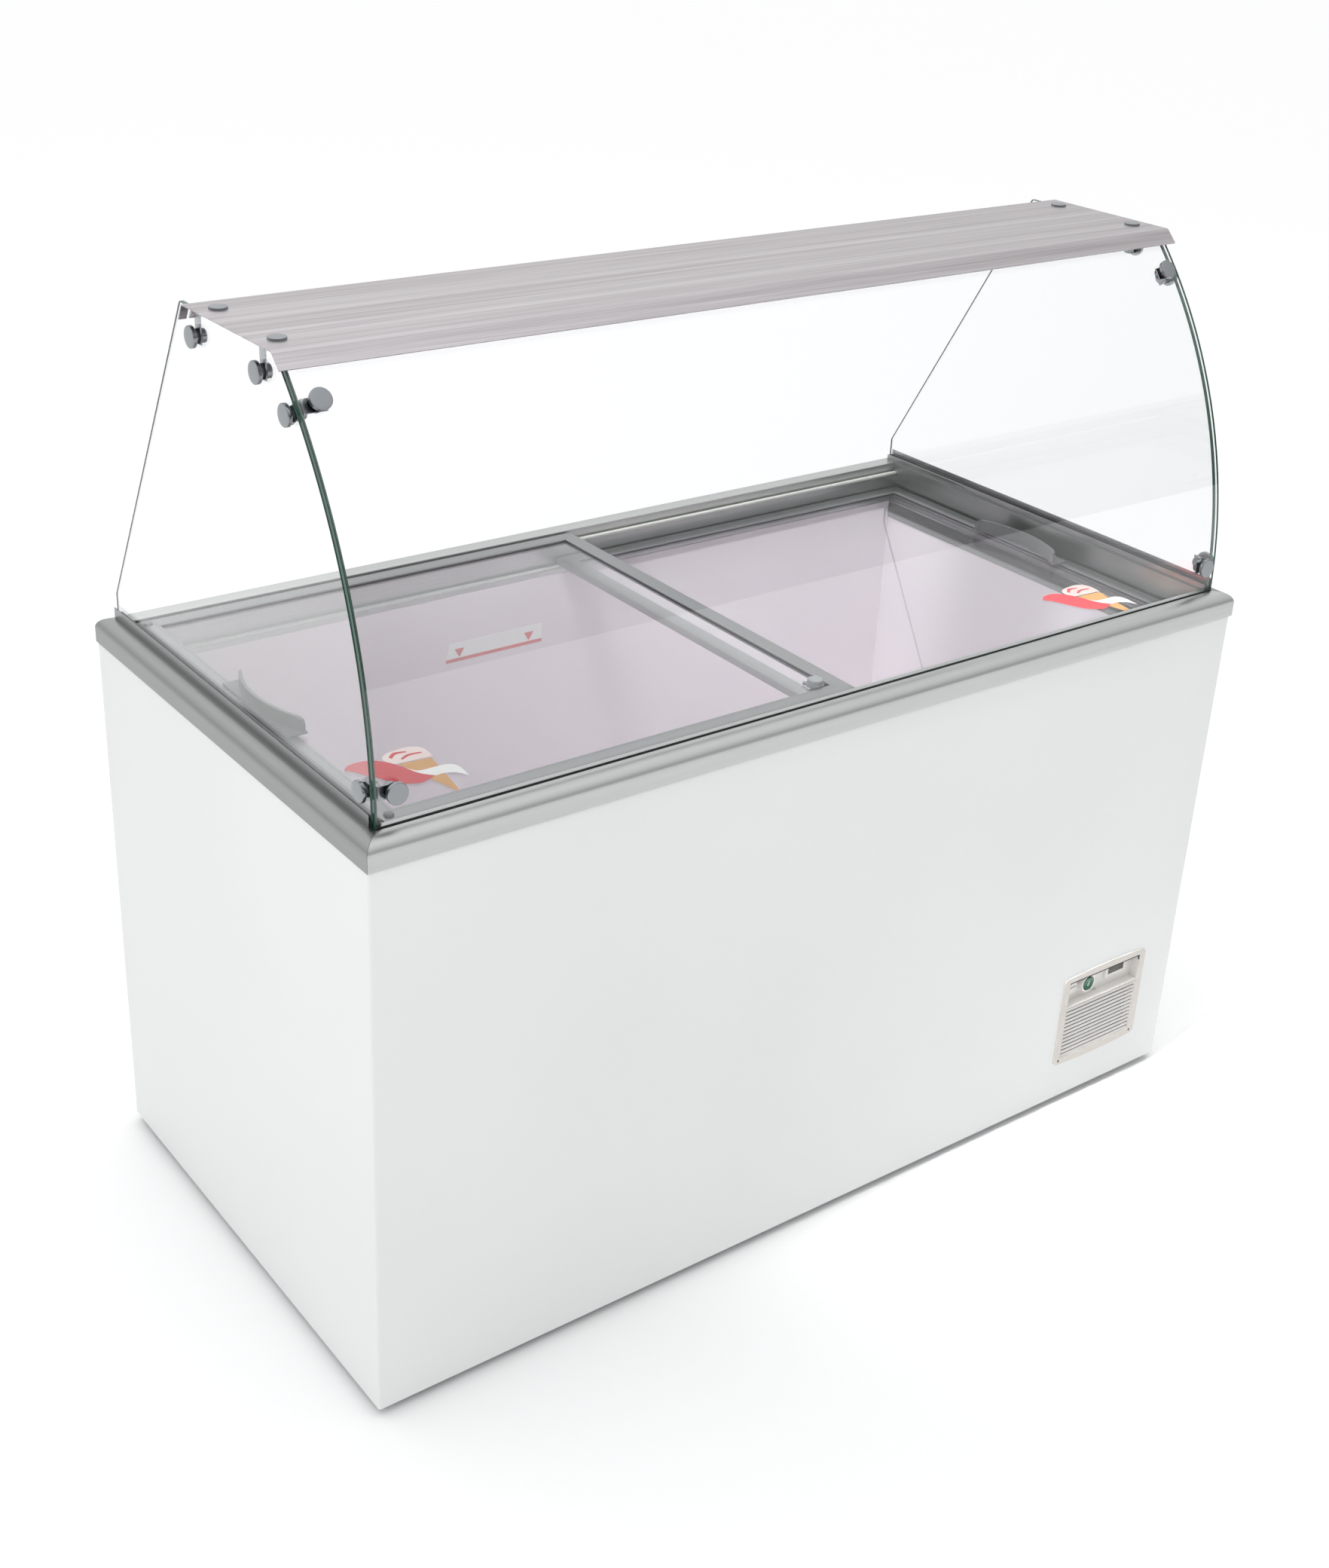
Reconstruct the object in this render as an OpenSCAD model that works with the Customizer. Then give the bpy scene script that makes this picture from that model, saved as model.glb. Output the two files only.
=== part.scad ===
// Ice-cream chest freezer with two sliding glass lids and a curved glass canopy.
// Frame: +X to the right along the length, the front (curved glass, control panel) faces -Y,
// +Z up, origin on the floor under the middle of the whole object. Millimetres.

/* [Cabinet] */
// Length of the steel cabinet, left to right
body_len = 1353; // [1250:1:1700]
// Depth of the steel cabinet, front to back
body_dep = 695; // [680:1:760]
// Height from the cabinet's lower edge to the top of the rim
body_h = 760; // [700:1:820]
// Floor clearance given by the levelling feet
foot_h = 12; // [8:1:20]
// Thickness of an insulated wall
wall_t = 62; // [56:1:70]
// Thickness of the painted steel sheet
sheet_t = 1.2; // [0.8:0.1:1.5]
// Length of the compressor compartment at the right end
comp_len = 241; // [220:1:260]
// Height of the compressor compartment
comp_h = 270; // [255:1:300]

/* [Rim] */
// Overhang of the rim beyond the cabinet at each end
rim_over = 2; // [1.5:0.5:4]
// Width of the rim, from its outer face to its inner wall
rim_w = 38; // [36:1:44]
// Height of the rim's skirt and rounded edge together
rim_h = 34; // [30:1:38]
// Height of the rounded shoulder
rim_round = 15; // [10:1:15]
// Depth of the hidden inner wall below the rim's top
rim_drop = 54; // [54:1:60]

/* [Lids] */
// Thickness of a lid's frame
lid_t = 10; // [8:1:10]
// Width of a lid's frame profile
lid_bar = 22; // [18:1:28]
// Thickness of a lid's glass
lid_glass = 4; // [3:1:5]
// Overlap of the two lids in the middle
lid_overlap = 30; // [20:1:40]
// How far each lid slides
lid_travel = 600; // [300:10:600]
// Height of a lid handle
handle_h = 19; // [14:1:19]
// Length of a lid handle
handle_len = 168; // [120:1:200]

/* [Canopy] */
// Thickness of the canopy glass
glass_t = 6; // [5:1:8]
// Outer radius of the curved front glass
curve_r = 671; // [640:1:720]
// Height of the shelf's top above the rim
shelf_rise = 461; // [420:1:480]
// Depth of the shelf's flat top
shelf_dep = 210; // [180:1:240]
// Length of the shelf
shelf_len = 1330; // [1326:1:1340]
// Diameter of a clamp's cap
cap_d = 25; // [20:1:26]

/* [Control panel] */
// Width of the panel
panel_w = 170; // [160:1:180]
// Height of the panel
panel_h = 153; // [150:1:160]
// Number of louvre slats
slats = 13; // [9:1:14]

/* [Hidden] */

$fn = 64;
eps = 0.01;

// Colours
paint = "#F2F3F2";
satin = "#A9ADAB";
steel = "#B5B1B3";
chrome = "#C9CDCF";
clear = [0.80, 0.93, 0.92, 0.35];
moulding = "#E3DFDA";
dark = "#2B2B2B";

// Cabinet
bx = body_len / 2;
by = body_dep / 2;
z_rim = foot_h + body_h;
rx = bx + rim_over;
ry = by + 2.5;
z_skirt = z_rim - rim_h;
web_z = z_rim - rim_h + 12;
base_t = 1.5;
z_base = foot_h + base_t;
tub_x = bx - wall_t;
tub_y = by - wall_t;
z_tub = foot_h + 83;
comp_x = bx - sheet_t - comp_len;
z_comp = z_base + comp_h;
step_x = comp_x - wall_t;
z_step = z_comp + 57;
liner_t = 1.2;
z_flange = z_rim - rim_drop;

// Feet, drain and evaporator
foot_x = bx - 80;
foot_y = by - 60;
foot_r = 22;
drain_x = -520;
coil_r = 4;
coil_pitch = 60;
coil_z0 = z_step + 50;
coil_loops = 6;
coil_x = tub_x + liner_t + coil_r;
coil_y = tub_y + liner_t + coil_r;
header_x = 500;

// Lid tracks, measured inwards from the rim's outer face and down from its top
inner_u = rim_w;
track_half = rx - rim_w;
ledge_u = rim_w + 12;
nose_u = rim_w + 25;
upper_z = -14;
lower_z = -46;
glide_t = 1.6;
lid_gap = 0.4;
upper_top = -2;
upper_bot = upper_top - lid_t;
lower_top = -34;
lower_bot = lower_top - lid_t;
lid_end = rx - inner_u - 4.5;
lid_half_upper = ry - inner_u - 3;
lid_half_lower = ry - ledge_u - 3;
lid_len = lid_end + lid_overlap / 2;
lid_mid = lid_end - lid_len / 2;
handle_inset = 10;
knob_x = -20;
knob_y = -274;

// Canopy glass
side_u = 26.5;
side_x = rx - side_u;
front_u = 24;
curve_y = -ry + front_u + curve_r;
seat_z = z_rim - 13;
side_seat_z = seat_z + 2;
channel_y0 = -318;
channel_y1 = 331;
channel_top = 15;
channel_in_top = 8;
glass_gap = 2.5;
side_r = curve_r - glass_t - glass_gap;
front_glass_len = 2 * (side_x + glass_t / 2);
z_shelf = z_rim + shelf_rise;
shelf_t = 1.5;
shelf_y0 = -150;
shelf_y1 = shelf_y0 + shelf_dep;
lip_front = 23;
lip_rear = 21;
lip_front_a = 45;
lip_rear_a = 62;
buffer_t = 2.5;
slot_half = glass_t / 2 + 0.5;
z_glass_top = z_shelf - shelf_t - buffer_t;
rear_edge_y = 333;
rear_kink_h = 30;
rear_slope = 0.574;
rear_top_y = rear_edge_y - rear_slope * (z_glass_top - z_rim - rear_kink_h);
top_front_angle = asin((z_glass_top - z_rim) / side_r);
front_arc = 42.3;

// Canopy clamps: each pair of angles is a place along the curved edge
clamp_angles = [3.2, 38];
clamp_r = side_r - 14;
clamp_x = side_x - glass_t / 2 - 18;
hanger_y = [-103, 50];
hanger_z = z_shelf - 34;
screw_y = [-110, 26];
screw_x = 638;
stud_r = 3;
hole_r = 5;
washer_t = 1;
plate_t = 2;
hollow_gap = 0.08;
bolt_stud = glass_t + 2 * washer_t + plate_t + 4;

// Control panel
px = 530;
pz = foot_h + 134.5;
panel_y = -ry;
tray_z = pz + 45;
tray_w = 148;
tray_h = 42;
tray_y = -by + 12;
vent_w = 148;
vent_h = 86;
vent_z = pz - 21;
ctl_z = pz + 50;
switch_x = px - 31;
switch_y = tray_y - 6.5;
dial_x = px - 60;
lcd_x = px + 37;
slat_pitch = (vent_h - 1) / slats;
bezel_screw_x = panel_w / 2 - 9;
bezel_screw_z = panel_h / 2 - 9;
bezel_screw_r = 2.2;
ring_r = 14;
barrel_r = 13;
rocker_bore_r = 11.3;
rocker_r = 10;

// Compressor compartment
cond_x = px - 82;
cond_w = 164;
cond_y0 = -318;
cond_y1 = -282;
cond_top = 212;
shroud_y = -264;
rear_vent_x = 555;
rear_vent_z = 150;
rear_vent_w = 180;
rear_vent_h = 160;
inlet_x = 470;
inlet_z = 38;
pipe_r = 3.5;
discharge_z = z_base + 90;
cmp_x = 545;
cmp_y = 150;
fan_x = px;
fan_z = 128;
fan_y = -236;
shaft_r = 3;
run_gap = 0.05;

// ---------- helpers ----------

// A block given by its lowest and highest corners
module block(lo, hi) {
    translate(lo)
        cube(hi - lo);
}

// A 2D section (u inwards, z up) swept along X; u = 0 lies at y = -ry
module along_x(len) {
    translate([0, -ry, z_rim])
        rotate([90, 0, 90])
            translate([0, 0, -len / 2])
                linear_extrude(len)
                    children();
}

// The same section swept along Y; u = 0 lies at x = -rx
module along_y(len) {
    rotate([0, 0, -90])
        translate([0, -rx, z_rim])
            rotate([90, 0, 90])
                translate([0, 0, -len / 2])
                    linear_extrude(len)
                        children();
}

// Makes a mirrored copy across the plane whose normal is n
module both(n) {
    children();
    mirror(n)
        children();
}

// ---------- cabinet ----------

module front_panel() {
    color(paint)
        difference() {
            block([-bx, -by, foot_h], [bx, -by + sheet_t, web_z]);
            block([px - 77, -by - 1, pz - 69], [px + 77, -by + 5, pz + 69]);
            at_bezel_screws(-by)
                cylinder(r = bezel_screw_r + 0.4, h = 10, center = true, $fn = 24);
        }
}

module side_panel(s) {
    color(paint)
        mirror([s > 0 ? 1 : 0, 0, 0])
            block([-bx, -by + sheet_t, foot_h], [-bx + sheet_t, by - sheet_t, web_z]);
}

module rear_panel() {
    color(paint)
        difference() {
            block([-bx, by - sheet_t, foot_h], [bx, by, web_z]);
            plate_y(by - 5, by + 5)
                rect_at(rear_vent_x, rear_vent_z, rear_vent_w, rear_vent_h);
            translate([inlet_x, by, inlet_z])
                rotate([90, 0, 0])
                    cylinder(r = 9, h = 10, center = true);
        }
}

module base_plate() {
    color("#B9BCBE")
        difference() {
            block(
                [-bx + sheet_t, -by + sheet_t, foot_h],
                [bx - sheet_t, by - sheet_t, z_base]
            );
            for (x = [-foot_x, foot_x], y = [-foot_y, foot_y])
                translate([x, y, 0])
                    cylinder(r = 5, h = 30);
            translate([drain_x, 0, 0])
                cylinder(r = 14, h = 30);
        }
}

module levelling_feet() {
    color(dark)
        for (x = [-foot_x, foot_x], y = [-foot_y, foot_y])
            translate([x, y, 0]) {
                cylinder(r1 = foot_r - 2, r2 = foot_r, h = 1.5);
                translate([0, 0, 1.5])
                    cylinder(r = foot_r, h = 3.5);
                translate([0, 0, 5])
                    cylinder(r = 9, h = foot_h - 5, $fn = 6);
                translate([0, 0, foot_h - eps])
                    cylinder(r = 5, h = base_t + eps);
            }
}

// Room that the foam leaves for the tub, its coil and the machinery
module foam_cavity() {
    lx = tub_x + liner_t;
    ly = tub_y + liner_t;
    block([-lx, -ly, z_tub - liner_t], [step_x + liner_t, ly, z_rim]);
    block([step_x, -ly, z_step - liner_t], [lx, ly, z_rim]);
    block([-rx + rim_w - 2.5, -ry + rim_w - 2.5, z_flange - liner_t],
        [rx - rim_w + 2.5, ry - rim_w + 2.5, z_rim]);
    block([comp_x, -by, 0], [bx, by, z_comp]);
    for (k = [0:coil_loops - 1])
        translate([0, 0, coil_z0 + k * coil_pitch])
            block([-coil_x - 4.5, -coil_y - 4.5, -4.5], [coil_x + 4.5, coil_y + 4.5, 4.5]);
    block([header_x - 5, coil_y - 5, coil_z0 - 4.5],
        [header_x + 5, coil_y + 4.5, coil_z0 + (coil_loops - 1) * coil_pitch + 4.5]);
    translate([drain_x, 0, 0])
        cylinder(r = 14, h = 200);
}

module insulation() {
    color("#E8D9A8")
        difference() {
            block(
                [-bx + sheet_t, -by + sheet_t, z_base],
                [bx - sheet_t, by - sheet_t, web_z]
            );
            foam_cavity();
        }
}

// Outside of the tub, grown by g on every side
module tub_block(g) {
    block([-tub_x - g, -tub_y - g, z_tub - g], [step_x + g, tub_y + g, z_rim]);
    block([step_x - 1, -tub_y - g, z_step - g], [tub_x + g, tub_y + g, z_rim]);
}

module inner_liner() {
    color("#EDEAF0")
        difference() {
            union() {
                intersection() {
                    tub_block(liner_t);
                    block([-bx, -by, 0], [bx, by, z_flange]);
                }
                block([-rx + rim_w, -ry + rim_w, z_flange - liner_t],
                    [rx - rim_w, ry - rim_w, z_flange]);
            }
            tub_block(0);
            translate([drain_x, 0, 0])
                cylinder(r = 14, h = 200);
        }
}

// One round tube bent tightly round the liner, lying flat
module coil_loop(hx, hy) {
    bend = coil_r;
    for (q = [[1, 1, 0], [-1, 1, 90], [-1, -1, 180], [1, -1, 270]])
        translate([q.x * (hx - bend), q.y * (hy - bend), 0])
            rotate([0, 0, q.z])
                rotate_extrude(angle = 90)
                    translate([bend, 0])
                        circle(r = coil_r - 0.1, $fn = 24);
    both([0, 1, 0])
        translate([0, -hy, 0])
            rotate([0, 90, 0])
                cylinder(r = coil_r, h = 2 * (hx - bend), center = true, $fn = 24);
    both([1, 0, 0])
        translate([-hx, 0, 0])
            rotate([90, 0, 0])
                cylinder(r = coil_r, h = 2 * (hy - bend), center = true, $fn = 24);
}

module evaporator_coil() {
    color("#B87333") {
        for (k = [0:coil_loops - 1])
            translate([0, 0, coil_z0 + k * coil_pitch])
                coil_loop(coil_x, coil_y);
        translate([header_x, coil_y, coil_z0])
            cylinder(r = coil_r - 0.4, h = (coil_loops - 1) * coil_pitch, $fn = 24);
    }
}

module drain_pipe() {
    color("#DADADA")
        translate([drain_x, 0, 0])
            difference() {
                union() {
                    translate([0, 0, foot_h])
                        cylinder(r = 14, h = z_tub - foot_h);
                    translate([0, 0, z_tub])
                        cylinder(r = 20, h = 1.5);
                }
                cylinder(r = 12, h = 200);
            }
}

module drain_plug() {
    color("#3A6EA5")
        translate([drain_x, 0, z_tub + 1.5 + 0.3]) {
            translate([0, 0, -14])
                cylinder(r = 11.6, h = 14);
            cylinder(r = 17, h = 4);
            translate([0, 0, 4 - eps])
                difference() {
                    translate([-3, -12, 0])
                        cube([6, 24, 14]);
                    translate([0, 0, 7])
                        rotate([0, 90, 0])
                            cylinder(r = 4.5, h = 20, center = true);
                }
        }
}

// ---------- rim ----------

// Quarter of an ellipse from the skirt's top to the flat top
function shoulder(g, n) = [
    for (i = [0:n])
        let (a = 180 - 90 * i / n)
        [20 + (20 - g) * cos(a), -rim_round + (rim_round - g) * sin(a)]
];

module rim_section() {
    difference() {
        polygon(concat(
            [[0, -rim_h]], shoulder(0, 10),
            [
                [rim_w, 0], [rim_w, -rim_drop], [rim_w - 2.5, -rim_drop],
                [rim_w - 2.5, -rim_h + 12], [1.8, -rim_h + 12], [1.8, -rim_h]
            ]
        ));
        intersection() {
            polygon(concat([[2.4, -19.5]], shoulder(2.4, 8), [[20, -19.5]]));
            translate([0, -19.5])
                square([17, 19]);
        }
    }
}

// Grooves for the curved front glass and for the two side channels
module glass_grooves() {
    block([-front_glass_len / 2 - 1, -ry + front_u - 1, z_rim - 15],
        [front_glass_len / 2 + 1, -ry + front_u + glass_t + 1, z_rim + 1]);
    both([1, 0, 0])
        block([-side_x - 7, channel_y0, z_rim - 15], [-side_x + 7, channel_y1, z_rim + 1]);
}

// A rim bar along X with both ends mitred
module mitred_bar(hx) {
    difference() {
        intersection() {
            along_x(2 * hx + 20)
                rim_section();
            translate([0, 0, z_rim - rim_drop - 1])
                linear_extrude(rim_drop + 2)
                    polygon([
                        [-hx, -ry], [hx, -ry],
                        [hx - rim_w, -ry + rim_w], [-hx + rim_w, -ry + rim_w]
                    ]);
        }
        children();
    }
}

// A rim bar along Y at the left end, mitred the same way
module mitred_end_bar() {
    difference() {
        intersection() {
            along_y(2 * ry + 20)
                rim_section();
            translate([0, 0, z_rim - rim_drop - 1])
                linear_extrude(rim_drop + 2)
                    polygon([
                        [-rx, ry], [-rx, -ry],
                        [-rx + rim_w, -ry + rim_w], [-rx + rim_w, ry - rim_w]
                    ]);
        }
        children();
    }
}

module rim_front() {
    color(satin)
        mitred_bar(rx)
            glass_grooves();
}

module rim_rear() {
    color(satin)
        difference() {
            mirror([0, 1, 0])
                mitred_bar(rx);
            glass_grooves();
        }
}

module rim_left() {
    color(satin)
        mitred_end_bar()
            glass_grooves();
}

module rim_right() {
    color(satin)
        mirror([1, 0, 0])
            rim_left();
}

// Cast corner keys inside the hollow of the rim
module rim_corner_keys() {
    lo = z_rim - 19.5;
    hi = z_rim - 10.5;
    color("#8A8D8F")
        both([1, 0, 0])
            both([0, 1, 0]) {
                block([-rx + 5, -ry + 5, lo], [-rx + 70, -ry + 16, hi]);
                block([-rx + 5, -ry + 5, lo], [-rx + 16, -ry + 70, hi]);
            }
}

module lid_track_front() {
    color(satin)
        along_x(2 * track_half)
            difference() {
                polygon([
                    [inner_u, upper_z], [ledge_u, upper_z], [ledge_u, lower_z],
                    [nose_u, lower_z], [nose_u, -rim_drop], [inner_u, -rim_drop]
                ]);
                translate([inner_u + 2.5, lower_z + 2.5])
                    square([7, upper_z - lower_z - 5]);
            }
}

module lid_track_rear() {
    mirror([0, 1, 0])
        lid_track_front();
}

// The end rail closes the gap under a lid's outer end
module end_rail(upper) {
    color(satin)
        along_y(2 * (ry - nose_u)) {
            polygon([
                [inner_u, -rim_drop], [nose_u, -rim_drop],
                [nose_u, lower_z], [inner_u, lower_z]
            ]);
            if (upper)
                polygon([
                    [inner_u, lower_z - 1], [inner_u + 2, lower_z - 1],
                    [inner_u + 2, upper_z - 4], [ledge_u, upper_z - 4],
                    [ledge_u, upper_z], [inner_u, upper_z]
                ]);
        }
}

module end_rail_left() {
    end_rail(true);
}

module end_rail_right() {
    mirror([1, 0, 0])
        end_rail(false);
}

module glide_strips() {
    color("#D8D8D4")
        both([0, 1, 0]) {
            along_x(2 * track_half)
                translate([inner_u + 4, upper_z])
                    square([6, glide_t]);
            along_x(2 * track_half)
                translate([ledge_u + 4.5, lower_z])
                    square([6, glide_t]);
        }
}

// ---------- side glass channels ----------

module glass_channel_left() {
    color(satin)
        translate([-side_x, 0, z_rim - 15])
            difference() {
                block([-7, channel_y0, 0], [7, channel_y1, 15 + channel_top]);
                block([-5.5, channel_y0 - 1, 2], [5.5, channel_y1 + 1, 60]);
                block([5, channel_y0 - 1, 15 + channel_in_top], [8, channel_y1 + 1, 60]);
            }
}

module glass_channel_right() {
    mirror([1, 0, 0])
        glass_channel_left();
}

// Rubber that holds the three canopy glasses in their seats
module glass_gaskets() {
    color(dark) {
        both([1, 0, 0])
            translate([-side_x, 0, z_rim - 13])
                difference() {
                    block([-5.5, channel_y0, 0], [5.5, channel_y1, 12 + channel_in_top]);
                    block([-3, channel_y0 - 1, 2], [3, channel_y1 + 1, 60]);
                }
        difference() {
            block([-front_glass_len / 2 - 1, -ry + front_u - 1, z_rim - 15],
                [front_glass_len / 2 + 1, -ry + front_u + glass_t + 1, z_rim]);
            block([-front_glass_len / 2, -ry + front_u, seat_z],
                [front_glass_len / 2, -ry + front_u + glass_t, z_rim + 1]);
            both([1, 0, 0])
                block([-side_x - 7.1, channel_y0, z_rim - 16], [-side_x + 7.1, 0, z_rim + 1]);
        }
    }
}

// ---------- lids ----------

module lid_frame(mid, half, top) {
    zt = z_rim + top;
    slot = 8;
    hx = lid_len / 2;
    color(satin)
        difference() {
            block([mid - hx, -half, zt - lid_t], [mid + hx, half, zt]);
            block([mid - hx + lid_bar, -half + lid_bar, zt - lid_t - 1],
                [mid + hx - lid_bar, half - lid_bar, zt + 1]);
            block([mid - hx + lid_bar - slot, -half + lid_bar - slot, zt - 3 - lid_glass],
                [mid + hx - lid_bar + slot, half - lid_bar + slot, zt - 3]);
        }
}

module lid_pane(mid, half, top) {
    zt = z_rim + top - 3;
    edge = lid_bar - 8;
    hx = lid_len / 2 - edge;
    color(clear)
        block([mid - hx, -half + edge, zt - lid_glass], [mid + hx, half - edge, zt]);
}

// Moulded grip: a foot plate along the lid's outer edge and an upright arc-shaped wall.
// The outer edge is at x = 0 and the wall bulges towards it; the foot stands on z = 0.
module lid_handle() {
    sag = 19;
    chord = handle_len - 8;
    r = (chord * chord / 4 + sag * sag) / (2 * sag);
    foot_t = 2.5;
    wall = 4;
    color("#A3A6A6") {
        difference() {
            block([0, -handle_len / 2, 0], [24, handle_len / 2, foot_t]);
            translate([r, 0, -1])
                cylinder(r = r - wall, h = 10, $fn = 180);
        }
        intersection() {
            translate([r, 0, 0])
                difference() {
                    cylinder(r = r, h = handle_h, $fn = 180);
                    translate([0, 0, -1])
                        cylinder(r = r - wall, h = handle_h + 2, $fn = 180);
                }
            rotate([90, 0, 90])
                linear_extrude(23)
                    polygon([
                        [-handle_len / 2 + 3, 0], [handle_len / 2 - 3, 0],
                        [handle_len / 2 - 3, handle_h - 7], [handle_len / 2 - 5, handle_h - 2.5],
                        [handle_len / 2 - 10, handle_h], [-handle_len / 2 + 12, handle_h],
                        [-handle_len / 2 + 5.5, handle_h - 3], [-handle_len / 2 + 3, handle_h - 9]
                    ]);
        }
    }
}

module left_lid_frame() {
    lid_frame(-lid_mid, lid_half_upper, upper_top);
}

module left_lid_glass() {
    difference() {
        lid_pane(-lid_mid, lid_half_upper, upper_top);
        translate([knob_x, knob_y, z_rim - 20])
            cylinder(r = 5.1, h = 30);
    }
}

module left_lid_handle() {
    translate([-lid_end + handle_inset, 0, z_rim + upper_top])
        lid_handle();
}

module left_lid_buffers() {
    color([0.9, 0.95, 0.95, 0.6])
        for (y = [-1, 1])
            translate([-lid_end + 11, y * (lid_half_upper - 11), z_rim + upper_top])
                rotate_extrude()
                    polygon([[0, 0], [6, 0], [6, 1], [5.2, 2.2], [3.6, 3], [0, 3.2]]);
}

// Turn knob that locks the upper lid; a short cam sits under the glass
module lid_lock_knob() {
    zg = z_rim + upper_top - 3;
    color("#9FA3A3")
        translate([knob_x, knob_y, zg]) {
            translate([0, 0, 0.3]) {
                cylinder(r = 11, h = 3);
                translate([0, 0, 3 - eps])
                    rotate_extrude()
                        polygon([[0, 0], [10, 0], [10, 4], [9.2, 5.4], [7.4, 6], [0, 6]]);
                rotate([0, 0, 135])
                    translate([9, -2.5, 0])
                        cube([6, 5, 3]);
            }
            translate([0, 0, -10])
                cylinder(r = 5, h = 10.3 + eps);
            translate([-5, -4, -10.5])
                cube([17, 8, 3]);
        }
}

module right_lid_frame() {
    lid_frame(lid_mid, lid_half_lower, lower_top);
}

module right_lid_glass() {
    lid_pane(lid_mid, lid_half_lower, lower_top);
}

module right_lid_handle() {
    translate([lid_end - handle_inset - 2, 0, z_rim + lower_top])
        mirror([1, 0, 0])
            lid_handle();
}

// ---------- canopy ----------

// Frame of a clamp at angle a on the curve: -Y points out of the front glass
module on_curve(a) {
    translate([0, curve_y, z_rim])
        rotate([-a, 0, 0])
            children();
}

// Outline of a side glass in (y, z)
function side_outline() = concat(
    [[rear_edge_y, side_seat_z], [rear_edge_y, z_rim + rear_kink_h]],
    [[rear_top_y, z_glass_top]],
    [
        for (i = [0:24])
            let (a = top_front_angle * (1 - i / 24))
            [curve_y - side_r * cos(a), z_rim + side_r * sin(a)]
    ],
    [[curve_y - side_r, side_seat_z]]
);

// Bolt holes through a side glass, along X
module side_holes() {
    for (a = clamp_angles)
        on_curve(a)
            translate([0, -clamp_r, 0])
                rotate([0, 90, 0])
                    cylinder(r = hole_r, h = 2 * bx, center = true, $fn = 32);
    for (y = hanger_y)
        translate([0, y, hanger_z])
            rotate([0, 90, 0])
                cylinder(r = hole_r, h = 2 * bx, center = true, $fn = 32);
}

module side_glass(s) {
    color(clear)
        difference() {
            translate([s * side_x, 0, 0])
                rotate([90, 0, 90])
                    translate([0, 0, -glass_t / 2])
                        linear_extrude(glass_t)
                            intersection() {
                                polygon(side_outline());
                                translate([channel_y0, 0])
                                    square([channel_y1 - channel_y0, 2000]);
                            }
            side_holes();
        }
}

module front_glass() {
    len = front_glass_len;
    color(clear)
        difference() {
            union() {
                translate([0, curve_y, z_rim])
                    rotate([90, 0, -90])
                        rotate_extrude(angle = front_arc, $fn = 540)
                            translate([curve_r - glass_t, -len / 2])
                                square([glass_t, len]);
                block([-len / 2, -ry + front_u, seat_z],
                    [len / 2, -ry + front_u + glass_t, z_rim + eps]);
            }
            for (a = clamp_angles, x = [-clamp_x, clamp_x])
                on_curve(a)
                    translate([x, -curve_r + glass_t / 2, 0])
                        rotate([90, 0, 0])
                            cylinder(r = hole_r, h = 20, center = true, $fn = 32);
        }
}

// Section of the folded shelf in (y, z)
function shelf_section() = let (
    ca = cos(lip_front_a), sa = sin(lip_front_a),
    cb = cos(lip_rear_a), sb = sin(lip_rear_a),
    a = [shelf_y0 - lip_front * ca, z_shelf - lip_front * sa],
    d = [shelf_y1 + lip_rear * cb, z_shelf - lip_rear * sb]
) [
    a, [shelf_y0, z_shelf], [shelf_y1, z_shelf], d,
    d + shelf_t * [-sb, -cb],
    [shelf_y1 - shelf_t * tan(lip_rear_a / 2), z_shelf - shelf_t],
    [shelf_y0 + shelf_t * tan(lip_front_a / 2), z_shelf - shelf_t],
    a + shelf_t * [sa, -ca]
];

module top_shelf() {
    color(steel)
        difference() {
            rotate([90, 0, 90])
                translate([0, 0, -shelf_len / 2])
                    linear_extrude(shelf_len)
                        polygon(shelf_section());
            for (x = [-screw_x, screw_x], y = screw_y)
                translate([x, y, z_shelf - 5])
                    cylinder(r = stud_r + 0.3, h = 10, $fn = 32);
            both([1, 0, 0])
                block([-side_x - slot_half, shelf_y1, z_shelf - lip_rear - 1],
                    [-side_x + slot_half, shelf_y1 + lip_rear, z_glass_top + 0.5]);
        }
}

module shelf_buffers() {
    color([0.9, 0.95, 0.95, 0.6])
        both([1, 0, 0])
            block([-side_x - glass_t / 2, shelf_y0 + 20, z_glass_top],
                [-side_x + glass_t / 2, shelf_y1 - 4, z_shelf - shelf_t]);
}

module shelf_screws() {
    color(chrome)
        for (x = [-screw_x, screw_x], y = screw_y)
            translate([x, y, z_shelf]) {
                rotate_extrude($fn = 48)
                    polygon([[0, 0], [10.5, 0], [10.5, 1.4], [9.8, 2.4], [8, 3], [0, 3.2]]);
                translate([0, 0, -9])
                    cylinder(r = stud_r, h = 9 + eps, $fn = 32);
            }
}

module shelf_nuts() {
    color(chrome)
        for (x = [-screw_x, screw_x], y = screw_y)
            translate([x, y, z_shelf - shelf_t - plate_t - 4])
                difference() {
                    cylinder(r = 6, h = 4, $fn = 6);
                    translate([0, 0, -1])
                        cylinder(r = stud_r, h = 6, $fn = 32);
                }
}

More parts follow.
